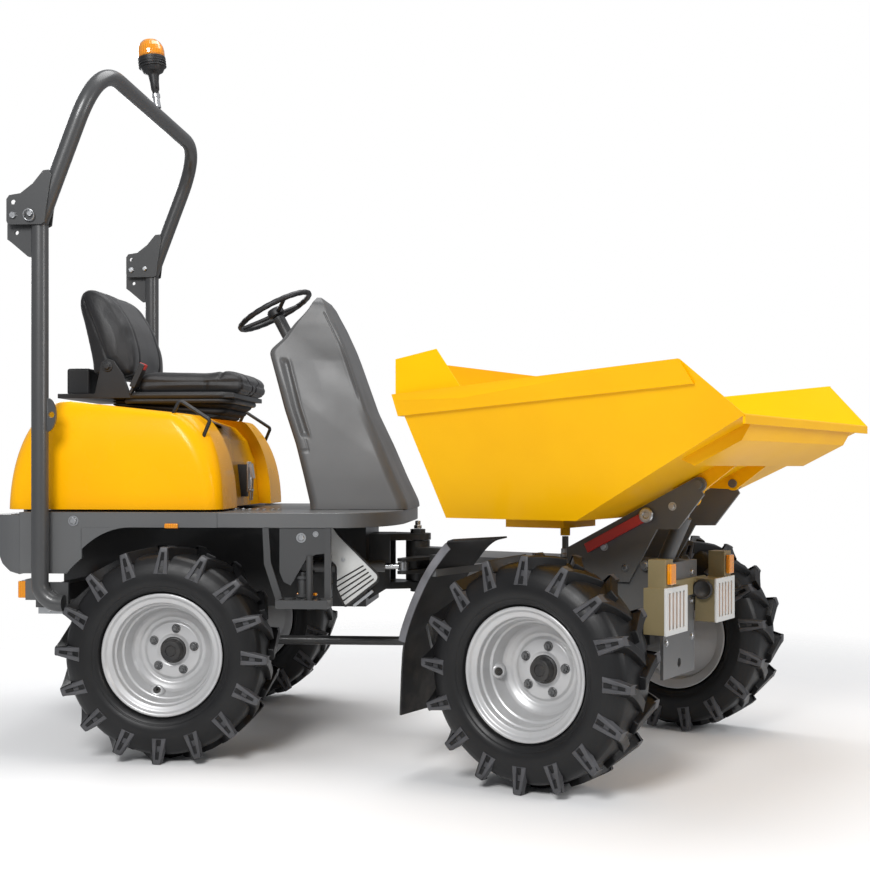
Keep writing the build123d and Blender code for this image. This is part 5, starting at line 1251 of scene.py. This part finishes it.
# ---------------------------------------------------------------- small parts
class DUMPER_OT_front_guards(bpy.types.Operator):
    """Front mudguards: bent black sheets with a pointed top end, a pale edge strip, a clamp bar and a flap"""

    bl_idname = "dumper.front_guards"
    bl_label = "Front mudguards"

    # along the outer edge from the flap's foot to the top end: x, z
    bends = ((0.404, 0.205), (0.409, 0.330), (0.417, 0.452), (0.461, 0.566), (0.523, 0.682), (0.612, 0.787),
             (0.668, 0.800))

    def execute(self, context):
        """Sheet as a closed section carried across; the inner edge reaches further at the top."""
        line = rounded(self.bends, 0.055, 9)
        tangent = unit(np.gradient(line, axis=0))
        normal = np.stack((-tangent[:, 1], tangent[:, 0]), 1)
        ring = np.concatenate((line + normal * 0.003, (line - normal * 0.003)[::-1]))
        late = np.concatenate((np.linspace(0, 1, len(line)), np.linspace(1, 0, len(line)))) ** 6
        for hand, name in ((-1, "right"), (1, "left")):
            sheet = Shape(front)
            across = np.linspace(0.705, 0.460, 9)
            inner = (0.705 - across[:, None]) / 0.245
            x = ring[None, :, 0] + late[None] * (inner * 0.060 - 0.052)
            surface = np.stack((x, np.broadcast_to(hand * across[:, None], x.shape),
                                np.broadcast_to(ring[None, :, 1], x.shape)), -1)
            caps = []
            for row in (0, -1):
                cap = surface[row].copy()
                half = len(line)
                centre = (cap[:half] + cap[half:][::-1]) / 2
                caps.append(np.concatenate((centre, centre[::-1]))[None])
            sheet.grid(np.concatenate((caps[0], surface, caps[1])), wrap_columns=True)
            nodes = ("front_mudguards",) if hand < 0 else ()
            sheet.made("front_guard_" + name, "front", "black_plastic", *nodes, crease=50)
            self.trim(line, normal, hand, name)
        return {"FINISHED"}

    def trim(self, line, normal, hand, name):
        """Pale rubber strip on the outer rim and the clamp bar that carries the sheet."""
        keep = (line[:, 1] > 0.44) & (line[:, 0] < 0.606)
        path = line[keep]
        out = normal[keep]
        strip = Shape(front)
        # away from the sheet, distance from the middle
        section = ((-0.004, 0.703), (-0.004, 0.7095), (0.020, 0.7095), (0.024, 0.707), (0.024, 0.703))
        surface = np.stack([np.concatenate((path + out * away, np.full((len(path), 1), hand * level)), 1)
                            for away, level in section], 1)[..., (0, 2, 1)]
        strip.grid(capped(surface), wrap_columns=True)
        strip.made("guard_strip_" + name, "front", "dark_paint", bevel=0.0015, crease=40, look="edge_rubber")
        bars = Shape(front)
        bars.box((0.436, hand * 0.585, 0.500), (0.010, 0.22, 0.022), (1, 0, 0.3), (0, 1, 0))
        bars.rod((0.531, hand * 0.440, 0.688), (0.531, hand * 0.500, 0.688), 0.012, 20, 0.001)
        bars.made("guard_bars_" + name, "front", "bright_steel", bevel=0.001)


class DUMPER_OT_small_parts(bpy.types.Operator):
    """Bolts, nuts, latch, stripes, panel edging, horn, lenses and plated rings"""

    bl_idname = "dumper.small_parts"
    bl_label = "Small parts"

    # hexagon bolts in the rear half: x, y, z, direction, radius
    rear_bolts = (
        [(-0.690 + 0.028 * step, -0.30 - 0.02 * (step % 2), 0.876, (0, 0, 1), 0.008) for step in range(8)]
        + [(-0.352, -0.594, 0.787, (0, -1, 0), 0.012), (-0.300, -0.594, 0.800, (0, -1, 0), 0.007),
           (-0.255, -0.594, 0.790, (0, -1, 0), 0.006), (-1.180, -0.600, 0.845, (0, -1, 0), 0.013),
           (-1.180, 0.600, 0.845, (0, 1, 0), 0.013), (-0.352, 0.594, 0.787, (0, 1, 0), 0.012)])
    # hexagon bolts in the front half
    front_bolts = (
        [(x, hand * 0.177, z, (0, hand, 0), size) for hand in (-1, 1) for x, z, size in
         ((0.800, 0.700, 0.012), (0.905, 0.760, 0.010), (1.060, 0.700, 0.012), (0.985, 0.690, 0.009),
          (1.160, 0.905, 0.010))]
        + [(1.111, y, z, (1, 0, 0), 0.009) for y in (-0.115, 0.115) for z in (0.560, 0.660, 0.430)])

    def execute(self, context):
        """Make each group."""
        for name, place, bolts, body in (("rear_bolts", rear, self.rear_bolts, "rear"),
                                         ("front_bolts", front, self.front_bolts, "front")):
            shape = Shape(place)
            for x, y, z, out, size in bolts:
                washer = size * 1.45
                shape.turned([(0, 0), (0, washer), (0.002, washer), (0.002, size)], (x, y, z), out, 24)
                shape.turned([(0.001, 0), (0.001, size), (size * 0.62, size), (size * 0.75, size * 0.8),
                              (size * 0.75, 0)], (x, y, z), out, 6)
            shape.made(name, body, "bright_steel", crease=30)
        self.hood_front()
        self.panel_edging()
        self.lamp_parts()
        self.linkage()
        self.arch_and_step()
        return {"FINISHED"}

    def hood_front(self):
        """Two grey stripes down the hollow and the draw latch with its lever and keeper."""
        stripes = Shape(rear)
        path = np.array(((-0.7335, 1.062), (-0.7605, 1.136), (-0.7720, 1.158)))
        section = ((-0.009, 0), (-0.009, 0.003), (0.009, 0.003), (0.009, 0))
        for y in (-0.091, 0.050):
            surface = np.stack([np.stack((path[:, 0] + lift, np.full(3, y + shift), path[:, 1]), 1)
                                for shift, lift in section], 1)
            stripes.grid(surface, wrap_columns=True)
        stripes.made("hood_stripes", "hood", "dark_grey_paint")
        latch = Shape(rear)
        latch.box((-0.684, 0.0, 1.000), (0.006, 0.050, 0.120))
        latch.tube(((-0.676, -0.016, 0.905), (-0.672, -0.016, 0.985), (-0.676, 0.0, 1.030),
                    (-0.672, 0.016, 0.985), (-0.676, 0.016, 0.905)), 0.0032, 10, (1, 0, 0.01))
        latch.box((-0.672, 0.0, 1.022), (0.012, 0.028, 0.060), (1, 0, 0.15))
        latch.rod((-0.675, -0.022, 0.945), (-0.675, 0.022, 0.945), 0.006, 16, 0.001)
        latch.made("hood_latch", "hood", "bright_steel", bevel=0.001)

    def panel_edging(self):
        """Black edging round the white side panel, ribs over its lower half and the angle that holds it."""
        outline = ((-0.292, 0.830), (-0.280, 0.700), (-0.252, 0.677), (-0.252, 0.596), (-0.219, 0.527),
                   (-0.097, 0.623), (-0.094, 0.645), (-0.138, 0.688), (-0.241, 0.790), (-0.268, 0.830))
        edging = Shape(rear)
        loop = rounded_loop(outline, 0.012, 4)
        path = np.stack((loop[:, 0], np.full(len(loop), -0.453), loop[:, 1]), 1)
        edging.tube(path, 0.0042, 10, (0, 1, 0), closed=True)
        low, high = np.array((-0.219, 0.527)), np.array((-0.097, 0.623))
        back = unit(np.array((-0.62, 0.79)))
        for step in range(5):
            start, end = low + back * (0.022 + 0.019 * step), high + back * (0.016 + 0.015 * step)
            start = start + (end - start) * 0.06
            end = end - (end - start) * 0.05
            edging.rod((start[0], -0.4535, start[1]), (end[0], -0.4535, end[1]), 0.0026, 8)
        edging.made("panel_edging", "rear", "black_plastic", crease=40)
        angle = Shape(rear)
        angle.box((-0.272, -0.462, 0.640), (0.012, 0.030, 0.150))
        angle.box((-0.150, -0.460, 0.560), (0.090, 0.012, 0.010), (0.62, 0, 0.49))
        angle.turned([(0, 0), (0, 0.008), (0.006, 0.008), (0.007, 0)], (-0.225, -0.4525, 0.700),
                     (0, -1, 0), 6)
        angle.made("panel_angle", "rear", "bright_steel", bevel=0.001)

    def lamp_parts(self):
        """Bulging indicator lenses, headlamp glass behind the grilles, and the horn."""
        lens, glass, horn = Shape(front), Shape(front), Shape(front)
        for hand in (-1, 1):
            lens.box((1.197, hand * 0.272, 0.683), (0.016, 0.046, 0.068))
            glass.box((1.1885, hand * 0.227, 0.560), (0.004, 0.130, 0.110))
        lens.made("indicator_lenses", "front", "amber_lens", bevel=0.005, segments=4)
        glass.made("lamp_glass", "front", "amber_lens")
        horn.turned([(0, 0), (0, 0.030), (0.006, 0.036), (0.016, 0.036), (0.020, 0.030), (0.014, 0.022),
                     (0.012, 0.0)], (1.150, 0.128, 0.600), (0.2, -1, 0), 32)
        horn.rod((1.150, 0.130, 0.600), (1.140, 0.150, 0.600), 0.012, 16)
        horn.made("horn", "front", "black_plastic")

    def arch_and_step(self):
        """Curved webs that round the skirts' arches, and a spool with an amber rod at each step."""
        webs = Shape(rear)
        curve = [(-1.152 + 0.185 * share, 0.742 + 0.080 * (1 - (1 - share) ** 2.2))
                 for share in (step / 8 for step in range(9))]
        spools = Shape(rear)
        rods = Shape(rear)
        for hand in (-1, 1):
            webs.holed([(-1.152, 0.8215)] + curve, (), 0.01, hand * 0.597 - 0.003, hand * 0.597 + 0.003)
            spools.turned([(0, 0), (0, 0.024), (0.008, 0.024), (0.010, 0.017), (0.036, 0.015), (0.062, 0.017),
                           (0.064, 0.024), (0.074, 0.024), (0.076, 0.010), (0.088, 0.010), (0.088, 0)],
                          (-0.352, hand * 0.566, 0.576), (0, 0, 1), 32)
            rods.rod((-0.372, hand * 0.566, 0.584), (-0.300, hand * 0.566, 0.584), 0.0055, 12)
        webs.made("arch_webs", "rear", "grey_paint", crease=30)
        spools.made("step_spools", "rear", "dark_paint", crease=40)
        rods.made("step_rods", "rear", "amber_lens")

    def linkage(self):
        """Plated collar on the skip's rest, rings on the tipping pivots and the articulation's nut."""
        plated = Shape(front)
        plated.turned([(0, 0), (0, 0.020), (0.010, 0.020), (0.014, 0.016), (0.030, 0.016), (0.034, 0.0)],
                      (0.660, 0, 0.706), (0, 0, 1), 32)
        for hand in (-1, 1):
            plated.turned([(0, 0.0), (0, 0.026), (0.006, 0.026), (0.009, 0.022), (0.009, 0.012),
                           (0.004, 0.010), (0.004, 0.0)], (1.071, hand * 0.1915, 0.874), (0, hand, 0), 32)
        plated.made("front_plated", "front", "bright_steel", bevel=0.001)
        joint = Shape(rear)
        joint.turned([(0, 0), (0, 0.017), (0.012, 0.017), (0.014, 0.012), (0.030, 0.012), (0.032, 0.0)],
                     (0.0, 0.0, 0.794), (0, 0, 1), 6)
        joint.made("articulation_nut", "rear", "bright_steel", bevel=0.001)


CLASSES = (DumperColours, DumperSizes, DUMPER_OT_stage, DUMPER_OT_steelwork, DUMPER_OT_tyres, DUMPER_OT_rims,
           DUMPER_OT_seat, DUMPER_OT_controls, DUMPER_OT_beacon, DUMPER_OT_roll_bar, DUMPER_OT_console,
           DUMPER_OT_front_guards, DUMPER_OT_small_parts)
STEPS = tuple(entry for entry in CLASSES if issubclass(entry, bpy.types.Operator))


class DUMPER_PT_panel(bpy.types.Panel):
    """Sidebar panel that lists the steps, the sizes and the colours"""

    bl_idname = "DUMPER_PT_panel"
    bl_label = "Dumper"
    bl_space_type = "VIEW_3D"
    bl_region_type = "UI"
    bl_category = "Dumper"

    def draw(self, context):
        """One button for each operator, then every property."""
        for step in STEPS:
            self.layout.operator(step.bl_idname)
        for group in (context.scene.dumper_sizes, context.scene.dumper_colours):
            for key in group.__annotations__:
                self.layout.prop(group, key)


def register():
    """Register the classes and hang the property groups on the scene."""
    for entry in (*CLASSES, DUMPER_PT_panel):
        bpy.utils.register_class(entry)
    bpy.types.Scene.dumper_colours = bpy.props.PointerProperty(type=DumperColours)
    bpy.types.Scene.dumper_sizes = bpy.props.PointerProperty(type=DumperSizes)


def unregister():
    """Take the classes and the property groups away again."""
    del bpy.types.Scene.dumper_sizes
    del bpy.types.Scene.dumper_colours
    for entry in reversed((*CLASSES, DUMPER_PT_panel)):
        bpy.utils.unregister_class(entry)


def main():
    """Make everything in order."""
    register()
    for step in STEPS:
        group, name = step.bl_idname.split(".")
        getattr(getattr(bpy.ops, group), name)()


if __name__ == "__main__":
    main()
